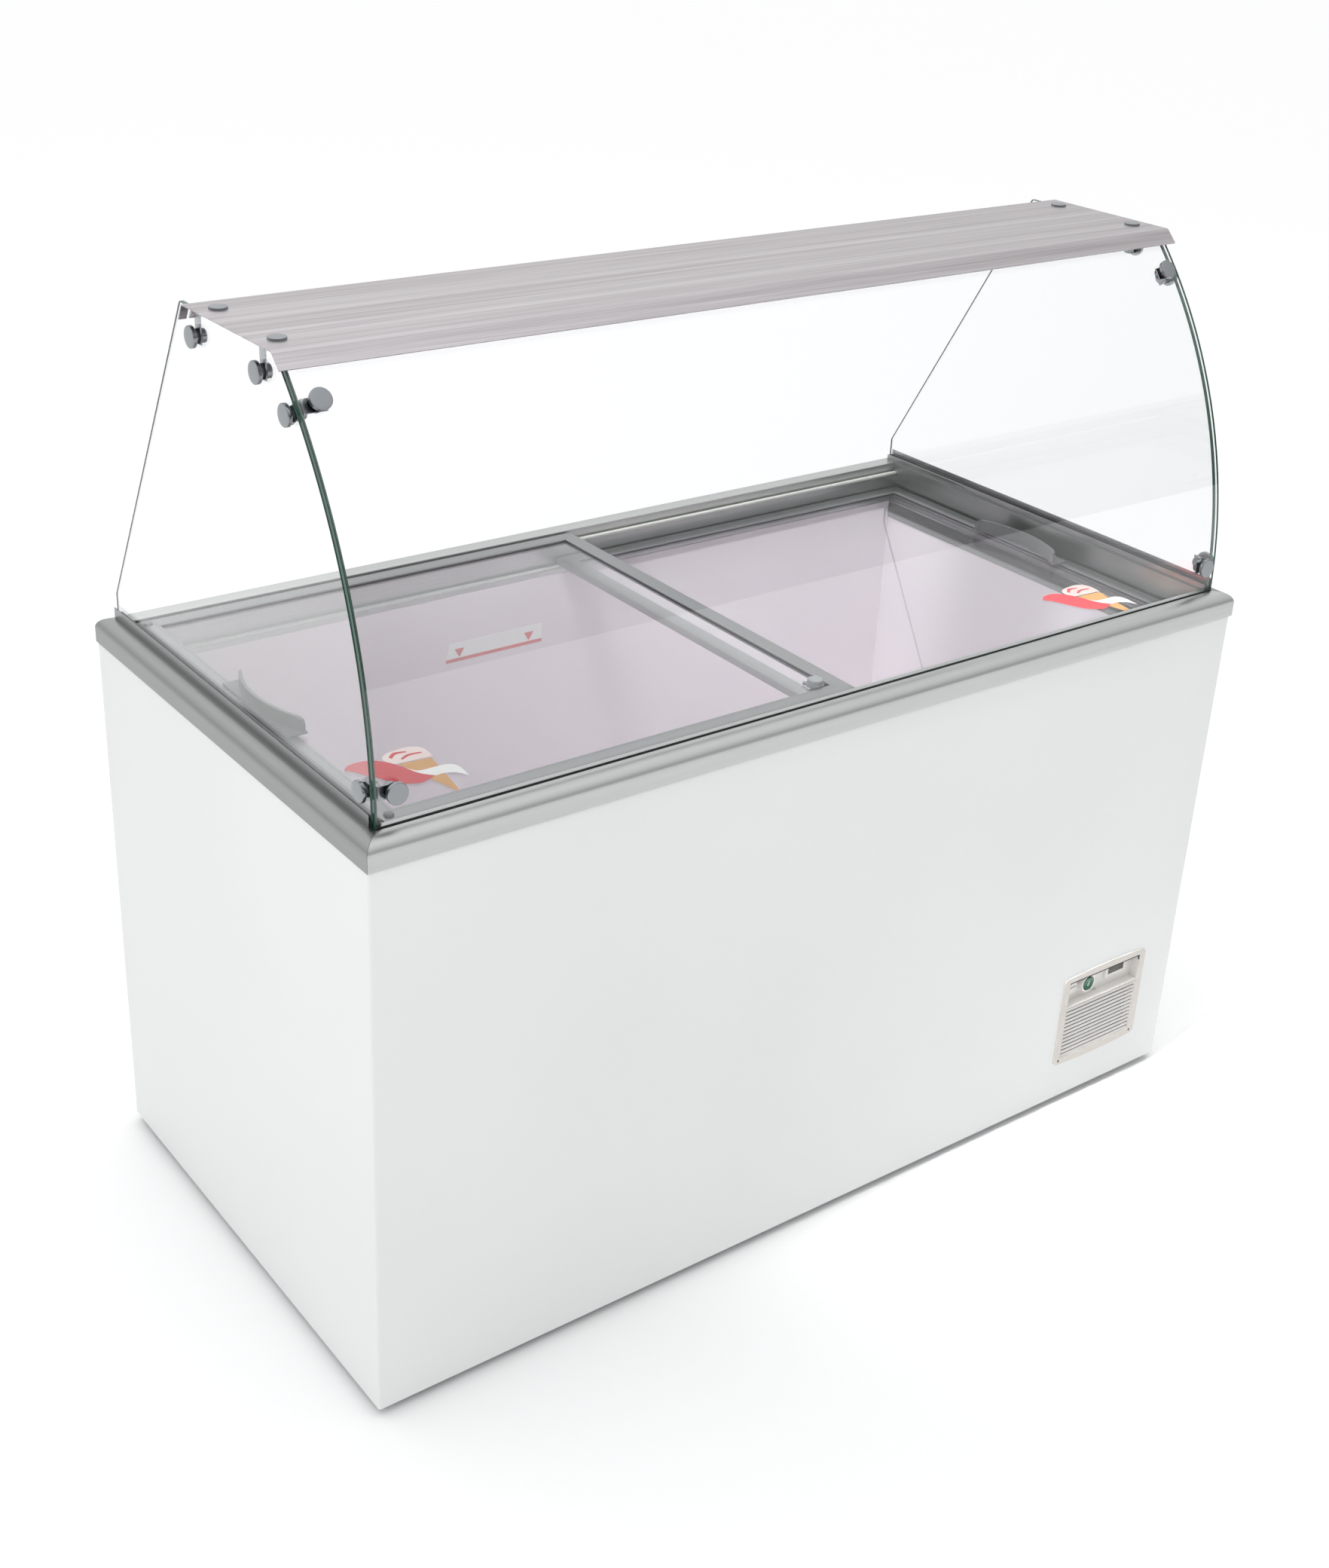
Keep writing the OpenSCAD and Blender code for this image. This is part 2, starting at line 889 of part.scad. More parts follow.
// Bent strap: one leg under the shelf, the other down the inside of the glass
module shelf_hangers() {
    xo = side_x - glass_t / 2 - washer_t;
    zt = z_shelf - shelf_t;
    color(chrome)
        both([1, 0, 0])
            for (i = [0, 1]) {
                y = hanger_y[i];
                y_lo = min(y - 6, screw_y[i] - 10);
                y_hi = max(y + 6, screw_y[i] + 10);
                difference() {
                    union() {
                        block([xo - plate_t, y - 6, hanger_z - 9], [xo, y + 6, zt]);
                        block([xo - 22, y_lo, zt - plate_t], [xo, y_hi, zt]);
                    }
                    translate([xo, y, hanger_z])
                        rotate([0, 90, 0])
                            cylinder(r = stud_r + 0.3, h = 20, center = true, $fn = 32);
                    translate([screw_x, screw_y[i], zt])
                        cylinder(r = stud_r + 0.3, h = 10, center = true, $fn = 32);
                }
            }
}

// A cap bolt along +X: its head stands on x = 0 and its stud points to -X
module cap_bolt(stud) {
    rotate([0, 90, 0]) {
        rotate_extrude($fn = 64)
            polygon([
                [0, 0], [9, 0], [9, 1.8], [cap_d / 2 - 0.6, 1.8], [cap_d / 2, 2.4],
                [cap_d / 2, 6.2], [cap_d / 2 - 0.8, 7], [0, 7]
            ]);
        translate([0, 0, -stud])
            cylinder(r = stud_r, h = stud + eps, $fn = 32);
    }
}

// Places its child at every bolt of the right-hand half; +X points out of the glass
module at_side_bolts(lift) {
    x = side_x + glass_t / 2 + lift;
    for (a = clamp_angles)
        on_curve(a)
            translate([x, -clamp_r, 0])
                children();
    for (y = hanger_y)
        translate([x, y, hanger_z])
            children();
}

// Flat washers stand off the hollow side of the front glass by a hair
module at_front_bolts(lift) {
    gap = lift < 0 ? hollow_gap : 0;
    for (a = clamp_angles)
        on_curve(a)
            translate([clamp_x, -curve_r - lift + gap, 0])
                rotate([0, 0, -90])
                    children();
}

module clamp_bolts() {
    color(chrome)
        both([1, 0, 0]) {
            at_side_bolts(washer_t)
                cap_bolt(bolt_stud);
            at_front_bolts(washer_t)
                cap_bolt(bolt_stud);
        }
}

module round_nut() {
    translate([-6, 0, 0])
        rotate([0, 90, 0])
            difference() {
                rotate_extrude($fn = 48)
                    polygon([[0, 0], [7.2, 0], [8, 0.8], [8, 6], [0, 6]]);
                translate([0, 0, 2])
                    cylinder(r = stud_r, h = 10, $fn = 32);
            }
}

module clamp_nuts() {
    lift = -glass_t - washer_t - plate_t;
    color(chrome)
        both([1, 0, 0]) {
            at_side_bolts(lift)
                round_nut();
            at_front_bolts(lift)
                round_nut();
        }
}

module rubber_washer() {
    rotate([0, 90, 0])
        difference() {
            cylinder(r = 8.5, h = washer_t, $fn = 48);
            translate([0, 0, -1])
                cylinder(r = stud_r + 0.3, h = 5, $fn = 32);
        }
}

module clamp_washers() {
    color("#3B3B3B")
        both([1, 0, 0])
            for (lift = [0, -glass_t - washer_t]) {
                at_side_bolts(lift)
                    rubber_washer();
                at_front_bolts(lift)
                    rubber_washer();
            }
}

// Bent plate that joins the front glass to the side glass at each clamp
module corner_brackets() {
    xo = side_x - glass_t / 2 - washer_t;
    yo = -curve_r + glass_t + washer_t + hollow_gap;
    color(chrome)
        both([1, 0, 0])
            for (a = clamp_angles)
                on_curve(a)
                    difference() {
                        union() {
                            block([xo - plate_t, yo, -8], [xo, -clamp_r + 10, 8]);
                            block([clamp_x - 10, yo, -8], [xo, yo + plate_t, 8]);
                        }
                        translate([xo, -clamp_r, 0])
                            rotate([0, 90, 0])
                                cylinder(r = stud_r + 0.3, h = 10, center = true, $fn = 32);
                        translate([clamp_x, yo, 0])
                            rotate([90, 0, 0])
                                cylinder(r = stud_r + 0.3, h = 10, center = true, $fn = 32);
                    }
}

// ---------- control panel ----------

// Panel outline in (x, z) about its middle: gently bowed top and bottom, rounded corners
module panel_outline(w, h, bow, r) {
    n = 12;
    translate([px, pz])
        polygon(concat(
            [
                for (i = [0:n])
                    let (t = 2 * i / n - 1)
                    [t * (w / 2 - r), h / 2 - bow * t * t]
            ],
            [for (a = [75:-15:0]) [w / 2 - r + r * cos(a), h / 2 - bow - r + r * sin(a)]],
            [for (a = [0:-15:-75]) [w / 2 - r + r * cos(a), -h / 2 + bow + r + r * sin(a)]],
            [
                for (i = [0:n])
                    let (t = 1 - 2 * i / n)
                    [t * (w / 2 - r), -h / 2 + bow * t * t]
            ],
            [for (a = [255:-15:180]) [-w / 2 + r + r * cos(a), -h / 2 + bow + r + r * sin(a)]],
            [for (a = [180:-15:105]) [-w / 2 + r + r * cos(a), h / 2 - bow - r + r * sin(a)]]
        ));
}

// Sweeps an (x, z) outline from y0 to y1
module plate_y(y0, y1) {
    translate([0, y1, 0])
        rotate([90, 0, 0])
            linear_extrude(y1 - y0)
                children();
}

module rect_at(x, z, w, h) {
    translate([x - w / 2, z - h / 2])
        square([w, h]);
}

// Places its child at the panel's two lower screws, +Z pointing into the cabinet
module at_bezel_screws(y) {
    for (x = [-bezel_screw_x, bezel_screw_x])
        translate([px + x, y, pz - bezel_screw_z])
            rotate([-90, 0, 0])
                children();
}

module control_bezel() {
    color(moulding)
        difference() {
            union() {
                plate_y(panel_y, -by)
                    panel_outline(panel_w, panel_h, 3, 7);
                plate_y(-by, tray_y + 2)
                    rect_at(px, pz, 153, 136);
            }
            plate_y(panel_y - 1, tray_y)
                rect_at(px, tray_z, tray_w, tray_h);
            plate_y(panel_y - 1, tray_y + 5)
                rect_at(px, vent_z, vent_w, vent_h);
            at_bezel_screws(panel_y)
                cylinder(r = bezel_screw_r, h = 60, center = true, $fn = 24);
            translate([dial_x, tray_y, ctl_z])
                rotate([90, 0, 0])
                    cylinder(r = 4.1, h = 20, center = true, $fn = 32);
            translate([switch_x, tray_y, ctl_z])
                rotate([90, 0, 0])
                    cylinder(r = barrel_r, h = 20, center = true);
            plate_y(tray_y - 1, tray_y + 5)
                rect_at(lcd_x, ctl_z + 1, 38, 20);
        }
}

module vent_louvre() {
    y0 = panel_y + 1;
    color("#ECEAE8") {
        difference() {
            plate_y(-by - 0.5, tray_y + 2)
                rect_at(px, vent_z, vent_w, vent_h);
            plate_y(-by - 1, tray_y + 3)
                rect_at(px, vent_z, vent_w - 4, vent_h - 3);
        }
        for (k = [0:slats - 1])
            translate([px, 0, vent_z - vent_h / 2 + 1 + k * slat_pitch])
                rotate([90, 0, 90])
                    translate([0, 0, -vent_w / 2 + 1])
                        linear_extrude(vent_w - 2)
                            polygon([
                                [y0 + 0.3, 0], [y0 + 2.6, 0], [y0 + 2.4, 3.2],
                                [y0 + 2.1, 3.6], [y0 + 1.75, 3.5], [y0, 0.4]
                            ]);
    }
}

module bezel_screws() {
    color("#1C1C1C")
        at_bezel_screws(panel_y + 0.6)
            cylinder(r = bezel_screw_r, h = 20, $fn = 24);
}

// White ring round the rocker; two pin holes on the rocker's axis
module switch_housing() {
    color("#F4F3F1")
        translate([switch_x, 0, ctl_z])
            difference() {
                union() {
                    plate_y(switch_y - 5, tray_y)
                        circle(r = ring_r);
                    plate_y(tray_y - eps, tray_y + 16)
                        circle(r = barrel_r);
                }
                plate_y(switch_y - 6, tray_y + 14)
                    circle(r = rocker_bore_r);
                translate([0, switch_y + 1, 0])
                    rotate([0, 90, 0])
                        cylinder(r = 1 + run_gap, h = 24.8, center = true, $fn = 24);
            }
}

// Green rocker: a rounded wedge that tips about its pins
module power_switch() {
    color("#0A6B4C")
        translate([switch_x, switch_y + 1, ctl_z]) {
            intersection() {
                plate_y(-9, 4)
                    circle(r = rocker_r);
                rotate([90, 0, 90])
                    linear_extrude(30, center = true)
                        polygon([
                            [-8, 12], [-6, 5], [-5.4, 0], [-6, -5], [-8, -12],
                            [1, -12], [3, 0], [1, 12]
                        ]);
            }
            rotate([0, 90, 0])
                cylinder(r = 1, h = 24.4, center = true, $fn = 24);
        }
}

module thermostat_dial() {
    color("#ECEAE8")
        translate([dial_x, tray_y - 0.3, ctl_z])
            rotate([90, 0, 0]) {
                difference() {
                    union() {
                        cylinder(r = 12, h = 2.2);
                        translate([0, 0, 2.2 - eps])
                            cylinder(r1 = 11.6, r2 = 10.6, h = 4);
                    }
                    translate([-8.5, -1.1, 3.4])
                        cube([17, 2.2, 10]);
                }
                translate([0, 0, -9])
                    cylinder(r = 4, h = 9 + eps, $fn = 32);
            }
}

module display_frame() {
    color("#F2F0ED")
        difference() {
            union() {
                plate_y(tray_y - 3, tray_y)
                    rect_at(lcd_x, ctl_z + 1, 45, 26);
                plate_y(tray_y - eps, tray_y + 14)
                    rect_at(lcd_x, ctl_z + 1, 38, 20);
            }
            plate_y(tray_y - 4, tray_y - 0.6)
                rect_at(lcd_x, ctl_z + 1, 33, 16);
            plate_y(tray_y - 2, tray_y + 12)
                rect_at(lcd_x, ctl_z + 1, 34, 17);
        }
}

module display_screen() {
    color("#5A5A4C")
        plate_y(tray_y - 2, tray_y + 3)
            rect_at(lcd_x, ctl_z + 1, 34, 17);
}

// ---------- refrigeration ----------

module compressor() {
    color("#26282A")
        translate([cmp_x, cmp_y, 0]) {
            translate([0, 0, z_base + 10])
                difference() {
                    block([-85, -75, 0], [85, 75, 2.5]);
                    for (x = [-72, 72], y = [-60, 60])
                        translate([x, y, -1])
                            cylinder(r = 5, h = 5, $fn = 32);
                }
            translate([0, 0, z_base + 12.5]) {
                rotate_extrude()
                    polygon([
                        [0, 0], [58, 0], [68, 8], [70, 30], [70, 96], [66, 122],
                        [54, 142], [34, 152], [0, 156]
                    ]);
                translate([-96, -26, 48])
                    cube([34, 52, 56]);
            }
            for (x = [-72, 72], y = [-60, 60])
                translate([x, y, z_base])
                    difference() {
                        cylinder(r = 11, h = 10);
                        translate([0, 0, -1])
                            cylinder(r = 4, h = 20, $fn = 32);
                    }
        }
}

// A straight tube from one point to another along an axis
module tube_x(p, len) {
    translate(p)
        rotate([0, 90, 0])
            cylinder(r = pipe_r, h = len, $fn = 24);
}

module tube_y(p, len) {
    translate(p)
        rotate([-90, 0, 0])
            cylinder(r = pipe_r, h = len, $fn = 24);
}

module tube_z(p, len) {
    translate(p)
        cylinder(r = pipe_r, h = len, $fn = 24);
}

module elbow(p) {
    translate(p)
        sphere(r = pipe_r + 0.6, $fn = 24);
}

// Discharge line to the condenser, and the drier on the liquid line
module refrigerant_pipes() {
    x1 = 648;
    x2 = 652;
    y_cond = -300;
    liquid_z = discharge_z - 50;
    color("#B87333") {
        tube_x([cmp_x + 70, cmp_y, discharge_z], x1 - cmp_x - 70);
        elbow([x1, cmp_y, discharge_z]);
        tube_y([x1, y_cond, discharge_z], cmp_y - y_cond);
        elbow([x1, y_cond, discharge_z]);
        tube_x([cond_x + cond_w, y_cond, discharge_z], x1 - cond_x - cond_w);
        tube_x([cond_x + cond_w, y_cond, liquid_z], x2 - cond_x - cond_w);
        elbow([x2, y_cond, liquid_z]);
        tube_y([x2, y_cond, liquid_z], 90);
        translate([x2, y_cond + 90, liquid_z])
            rotate([-90, 0, 0])
                cylinder(r = 11, h = 90);
        tube_y([x2, y_cond + 179, liquid_z], 60);
    }
}

// Finned block behind the front louvre
module condenser() {
    fins = 27;
    fin_pitch = 6;
    z0 = 44;
    color("#6E7173") {
        for (k = [0:fins - 1])
            translate([cond_x + 3.5 + k * fin_pitch, 0, 0])
                block([0, cond_y0, z0], [1, cond_y1, cond_top]);
        for (z = [z0 + 20:32:cond_top - 10], y = [cond_y0 + 10, cond_y1 - 10])
            translate([cond_x, y, z])
                rotate([0, 90, 0])
                    cylinder(r = 4, h = cond_w, $fn = 24);
        for (x = [cond_x, cond_x + cond_w - 2])
            block([x, cond_y0 - 2, z_base], [x + 2, cond_y1 + 2, cond_top]);
    }
}

module fan_shroud() {
    color("#8C9092")
        difference() {
            union() {
                block([cond_x, shroud_y, z_base], [cond_x + cond_w, shroud_y + 2, cond_top]);
                translate([fan_x, shroud_y + 2 - eps, fan_z])
                    rotate([-90, 0, 0])
                        cylinder(r = 78, h = 14);
                for (x = [cond_x, cond_x + cond_w - 2])
                    block([x, cond_y1 + 2, z_base], [x + 2, shroud_y, cond_top]);
            }
            translate([fan_x, shroud_y - 5, fan_z])
                rotate([-90, 0, 0])
                    cylinder(r = 76, h = 40);
        }
}

// Motor on a cross strut behind the blades
module fan_motor() {
    color("#3A3D40") {
        translate([fan_x, fan_y + 22, fan_z])
            rotate([-90, 0, 0]) {
                cylinder(r = 30, h = 46);
                translate([0, 0, -36])
                    cylinder(r = shaft_r, h = 37, $fn = 32);
            }
        block([fan_x - 70, fan_y + 50, z_base], [fan_x - 58, fan_y + 52, fan_z + 6]);
        block([fan_x + 58, fan_y + 50, z_base], [fan_x + 70, fan_y + 52, fan_z + 6]);
        block([fan_x - 70, fan_y + 50, fan_z - 6], [fan_x + 70, fan_y + 52, fan_z + 6]);
    }
}

module fan_blades() {
    blades = 5;
    color("#C9CDD0")
        translate([fan_x, fan_y, fan_z])
            rotate([90, 0, 0])
                difference() {
                    union() {
                        cylinder(r = 16, h = 20, center = true);
                        for (k = [0:blades - 1])
                            rotate([0, 0, k * 360 / blades])
                                translate([13, 0, 0])
                                    rotate([28, 0, 0])
                                        translate([0, -14, -0.8])
                                            cube([56, 28, 1.6]);
                    }
                    cylinder(r = shaft_r + run_gap, h = 60, center = true, $fn = 32);
                }
}

module rear_vent_grille() {
    flange = 10;
    wall = 4;
    n = 11;
    inner_w = rear_vent_w - 2 * wall;
    inner_h = rear_vent_h - 2 * wall;
    pitch = inner_h / n;
    color(paint) {
        difference() {
            union() {
                plate_y(by, ry)
                    rect_at(rear_vent_x, rear_vent_z,
                        rear_vent_w + 2 * flange, rear_vent_h + 2 * flange);
                plate_y(by - 8, by)
                    rect_at(rear_vent_x, rear_vent_z, rear_vent_w, rear_vent_h);
            }
            plate_y(by - 20, by + 10)
                rect_at(rear_vent_x, rear_vent_z, inner_w, inner_h);
        }
        for (k = [0:n - 1])
            translate([rear_vent_x, 0, rear_vent_z - inner_h / 2 + (k + 0.5) * pitch])
                rotate([90, 0, 90])
                    translate([0, 0, -inner_w / 2 - 1])
                        linear_extrude(inner_w + 2)
                            polygon([
                                [ry - 0.4, -5], [ry - 0.4, -3.4],
                                [by - 7, 4.2], [by - 7, 2.6]
                            ]);
    }
}

// Cable gland for the mains lead
module power_inlet() {
    color(dark)
        translate([inlet_x, 0, inlet_z])
            rotate([-90, 0, 0])
                difference() {
                    union() {
                        translate([0, 0, by])
                            cylinder(r = 13, h = 2.5, $fn = 48);
                        translate([0, 0, by - 14])
                            cylinder(r = 9, h = 14 + eps);
                    }
                    translate([0, 0, by - 20])
                        cylinder(r = 4.2, h = 60, $fn = 32);
                }
}

front_panel();
side_panel(-1);  // left_side_panel
side_panel(1);  // right_side_panel
rear_panel();
base_plate();
levelling_feet();
insulation();
inner_liner();
evaporator_coil();
drain_pipe();
drain_plug();
rim_front();
rim_rear();
rim_left();
rim_right();
rim_corner_keys();
lid_track_front();
lid_track_rear();
end_rail_left();
end_rail_right();
glide_strips();
glass_channel_left();
glass_channel_right();
glass_gaskets();
left_lid_frame();
left_lid_glass();
left_lid_handle();
left_lid_buffers();
lid_lock_knob();
right_lid_frame();
right_lid_glass();
right_lid_handle();
side_glass(-1);  // side_glass_left
side_glass(1);  // side_glass_right
front_glass();
top_shelf();
shelf_buffers();
shelf_screws();
shelf_nuts();
shelf_hangers();
clamp_bolts();
clamp_nuts();
clamp_washers();
corner_brackets();
control_bezel();
vent_louvre();
bezel_screws();
switch_housing();
power_switch();
thermostat_dial();
display_frame();
display_screen();
compressor();
refrigerant_pipes();
condenser();
fan_shroud();
fan_motor();
fan_blades();
rear_vent_grille();
power_inlet();
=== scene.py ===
"""Looks of a shop chest freezer with sliding glass lids, a curved glass canopy and a steel shelf.

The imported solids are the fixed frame. Pieces whose real edges are drawn, folded, moulded or
polished are rebuilt here in the same places, and every solid left showing gets the finish of its
real material. Lengths are metres, in the frame's axes: +X to the right, -Y to the front, +Z up.
"""

import logging
import math
from collections.abc import Callable, Sequence
from dataclasses import dataclass, field
from enum import Enum

import bmesh
import bpy
from mathutils import Matrix, Vector


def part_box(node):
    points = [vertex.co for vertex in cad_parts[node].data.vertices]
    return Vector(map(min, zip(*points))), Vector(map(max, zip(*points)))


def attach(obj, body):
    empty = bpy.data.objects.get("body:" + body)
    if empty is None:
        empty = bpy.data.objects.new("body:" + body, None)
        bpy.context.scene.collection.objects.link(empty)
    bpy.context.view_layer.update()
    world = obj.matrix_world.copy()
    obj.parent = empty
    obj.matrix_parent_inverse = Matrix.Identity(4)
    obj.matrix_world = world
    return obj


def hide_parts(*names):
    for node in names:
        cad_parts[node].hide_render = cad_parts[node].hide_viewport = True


log = logging.getLogger("freezer")
MM = 0.001
Point = tuple[float, float]

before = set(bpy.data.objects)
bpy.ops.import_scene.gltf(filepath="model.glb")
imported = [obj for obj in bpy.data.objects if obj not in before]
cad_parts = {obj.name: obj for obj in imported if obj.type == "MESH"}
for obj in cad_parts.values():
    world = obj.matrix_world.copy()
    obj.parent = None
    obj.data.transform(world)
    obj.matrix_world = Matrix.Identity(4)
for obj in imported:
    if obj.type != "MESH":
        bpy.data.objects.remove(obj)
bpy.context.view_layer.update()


# ---------------------------------------------------------------- finishes


def linear(code: str) -> tuple[float, float, float, float]:
    """Turns an sRGB hex colour into linear RGBA."""
    parts = [int(code[i : i + 2], 16) / 255 for i in (1, 3, 5)]
    return (*[c / 12.92 if c <= 0.04045 else ((c + 0.055) / 1.055) ** 2.4 for c in parts], 1.0)


def add_node(
    tree: bpy.types.NodeTree,
    kind: str,
    settings: dict | None = None,
    into: bpy.types.NodeSocket | None = None,
    out: int = 0,
    **traits: str,
) -> bpy.types.Node:
    """Adds one node to a tree.

    Args:
        tree: the node tree.
        kind: the node's type name.
        settings: input name or index to a value, or to an output socket that is linked to it.
        into: an input socket that the node feeds.
        out: which of its outputs feeds it.
        **traits: properties of the node itself.

    Returns:
        The new node.
    """
    node = tree.nodes.new(kind)
    for trait, value in traits.items():
        setattr(node, trait, value)
    if into is not None:
        tree.links.new(node.outputs[out], into)
    for key, value in (settings or {}).items():
        if isinstance(value, bpy.types.NodeSocket):
            tree.links.new(value, node.inputs[key])
        else:
            node.inputs[key].default_value = value
    return node


def noise(tree: bpy.types.NodeTree, place: bpy.types.NodeSocket, scale: float, detail: float) -> bpy.types.NodeSocket:
    """Adds a noise with some cells to the metre and returns its value."""
    return add_node(tree, "ShaderNodeTexNoise", {"Vector": place, "Scale": scale, "Detail": detail}).outputs[0]


def relief(
    tree: bpy.types.NodeTree, shader: bpy.types.Node, height: bpy.types.NodeSocket, strength: float, depth_mm: float
) -> None:
    """Raises a shader's surface by a pattern."""
    settings = {"Strength": strength, "Distance": depth_mm * MM, "Height": height}
    add_node(tree, "ShaderNodeBump", settings, shader.inputs["Normal"])


def gloss(
    tree: bpy.types.NodeTree, shader: bpy.types.Node, pattern: bpy.types.NodeSocket, ends: Point, span: Point = (0, 1)
) -> None:
    """Runs a shader's roughness between two ends while a pattern runs over its span."""
    settings = {0: pattern, 1: span[0], 2: span[1], 3: ends[0], 4: ends[1]}
    add_node(tree, "ShaderNodeMapRange", settings, shader.inputs["Roughness"])


class Grain(Enum):
    """Direction in which a drawn or brushed metal's lines run."""

    X = (1, 0, 0)
    Y = (0, 1, 0)
    Z = (0, 0, 1)


@dataclass(frozen=True)
class Finish:
    """A real material and how its surface was made."""

    name: str
    colour: str
    roughness: float = 0.5
    metallic: float = 0.0
    ior: float = 1.5
    coat: float = 0.0
    shade: str = "#808080"

    def dress(self, tree: bpy.types.NodeTree, shader: bpy.types.Node, place: bpy.types.NodeSocket) -> None:
        """Adds the surface's own pattern; the plain finish is a faint handling haze.

        Args:
            tree: the material's nodes.
            shader: its Principled node.
            place: the object coordinates, in metres.
        """
        haze = noise(tree, place, 25.0, 3.0)
        gloss(tree, shader, haze, (self.roughness * 0.85, min(1.0, self.roughness * 1.15)))

    def blend_tones(self, tree: bpy.types.NodeTree, shader: bpy.types.Node, pattern: bpy.types.NodeSocket) -> None:
        """Runs the colour from the finish's shade to its main colour by a pattern of 0 to 1."""
        tones = {0: pattern, 6: linear(self.shade), 7: linear(self.colour)}
        add_node(tree, "ShaderNodeMix", tones, shader.inputs["Base Color"], 2, data_type="RGBA")

    def material(self) -> bpy.types.Material:
        """Returns the Blender material, made on first use."""
        if self.name in bpy.data.materials:
            return bpy.data.materials[self.name]
        made = bpy.data.materials.new(self.name)
        made.use_nodes = True
        tree = made.node_tree
        tree.nodes.clear()
        shader = add_node(
            tree,
            "ShaderNodeBsdfPrincipled",
            {
                "Base Color": linear(self.colour),
                "Roughness": self.roughness,
                "Metallic": self.metallic,
                "IOR": self.ior,
                "Coat Weight": self.coat,
            },
        )
        place = add_node(tree, "ShaderNodeTexCoord").outputs["Object"]
        self.dress(tree, shader, place)
        add_node(tree, "ShaderNodeOutputMaterial", {"Surface": self.outcome(tree, shader)})
        return made

    def outcome(self, tree: bpy.types.NodeTree, shader: bpy.types.Node) -> bpy.types.NodeSocket:
        """Returns the shader socket that the material shows."""
        return shader.outputs[0]


@dataclass(frozen=True)
class PowderCoat(Finish):
    """Polyester powder baked on sheet steel: an even low gloss broken by fine orange peel."""

    shade: str = "#E9EBEA"
    peel_mm: float = 2.2
    peel_depth_mm: float = 0.03

    def dress(self, tree: bpy.types.NodeTree, shader: bpy.types.Node, place: bpy.types.NodeSocket) -> None:
        """Adds the peel and a very slow drift of tone over a sheet."""
        relief(tree, shader, noise(tree, place, 1 / (self.peel_mm * MM), 2.0), 0.35, self.peel_depth_mm)
        self.blend_tones(tree, shader, noise(tree, place, 3.0, 1.0))


@dataclass(frozen=True)
class DrawnMetal(Finish):
    """Metal with parallel lines from a die or an abrasive belt, drawn about 1 mm apart to show."""

    metallic: float = 1.0
    shade: str = "#8F9290"
    grain: Grain = Grain.X
    line_mm: float = 0.9
    run_mm: float = 120.0
    contrast: float = 0.5
    relief_mm: float = 0.012

    def dress(self, tree: bpy.types.NodeTree, shader: bpy.types.Node, place: bpy.types.NodeSocket) -> None:
        """Adds the lines to colour, gloss and relief, with wider bands over them."""
        along = Vector(self.grain.value)
        scales = [1 / (self.run_mm * MM) if a else 1 / (self.line_mm * MM) for a in along]
        band_ratio = 9
        fine_place = add_node(tree, "ShaderNodeMapping", {"Vector": place, "Scale": scales})
        fine = noise(tree, fine_place.outputs[0], 1.0, 4.0)
        wide_place = add_node(tree, "ShaderNodeMapping", {"Vector": place, "Scale": [s / band_ratio for s in scales]})
        wide = noise(tree, wide_place.outputs[0], 1.0, 2.0)
        both = add_node(tree, "ShaderNodeMath", {0: fine, 1: wide}, operation="ADD")
        half = 0.35 / self.contrast
        lines = add_node(tree, "ShaderNodeMapRange", {0: both.outputs[0], 1: 1 - half, 2: 1 + half})
        self.blend_tones(tree, shader, lines.outputs[0])
        gloss(tree, shader, lines.outputs[0], (self.roughness + 0.08, self.roughness - 0.06))
        relief(tree, shader, fine, 0.5, self.relief_mm)


@dataclass(frozen=True)
class Plated(Finish):
    """Bright plating or polish over a turned or pressed blank: mirror-like with faint smears."""

    metallic: float = 1.0

    def dress(self, tree: bpy.types.NodeTree, shader: bpy.types.Node, place: bpy.types.NodeSocket) -> None:
        """Adds the slow waves of a buffed surface and thin smears to the gloss."""
        relief(tree, shader, noise(tree, place, 140.0, 1.0), 0.4, 0.02)
        smear = noise(tree, place, 60.0, 4.0)
        gloss(tree, shader, smear, (self.roughness, self.roughness * 2.5), (0.4, 0.75))


@dataclass(frozen=True)
class Moulded(Finish):
    """Injection-moulded plastic from a spark-eroded tool: a soft pebble grain with an even sheen."""

    shade: str = "#9A9C9C"
    grain_mm: float = 0.9
    grain_depth_mm: float = 0.02

    def dress(self, tree: bpy.types.NodeTree, shader: bpy.types.Node, place: bpy.types.NodeSocket) -> None:
        """Adds the pebble grain and the small drift of tone of a moulding."""
        relief(tree, shader, noise(tree, place, 1 / (self.grain_mm * MM), 2.0), 0.5, self.grain_depth_mm)
        self.blend_tones(tree, shader, noise(tree, place, 40.0, 2.0))


@dataclass(frozen=True)
class Spangled(Finish):
    """Hot-dip zinc: crystal flakes a few millimetres wide, each with its own grey."""

    metallic: float = 1.0
    shade: str = "#8D9092"
    flake_mm: float = 9.0

    def dress(self, tree: bpy.types.NodeTree, shader: bpy.types.Node, place: bpy.types.NodeSocket) -> None:
        """Adds the flakes to colour and gloss."""
        flake = add_node(tree, "ShaderNodeTexVoronoi", {"Vector": place, "Scale": 1 / (self.flake_mm * MM)})
        tone = add_node(tree, "ShaderNodeSeparateColor", {0: flake.outputs["Color"]}).outputs[0]
        self.blend_tones(tree, shader, tone)
        gloss(tree, shader, tone, (self.roughness, self.roughness + 0.15))


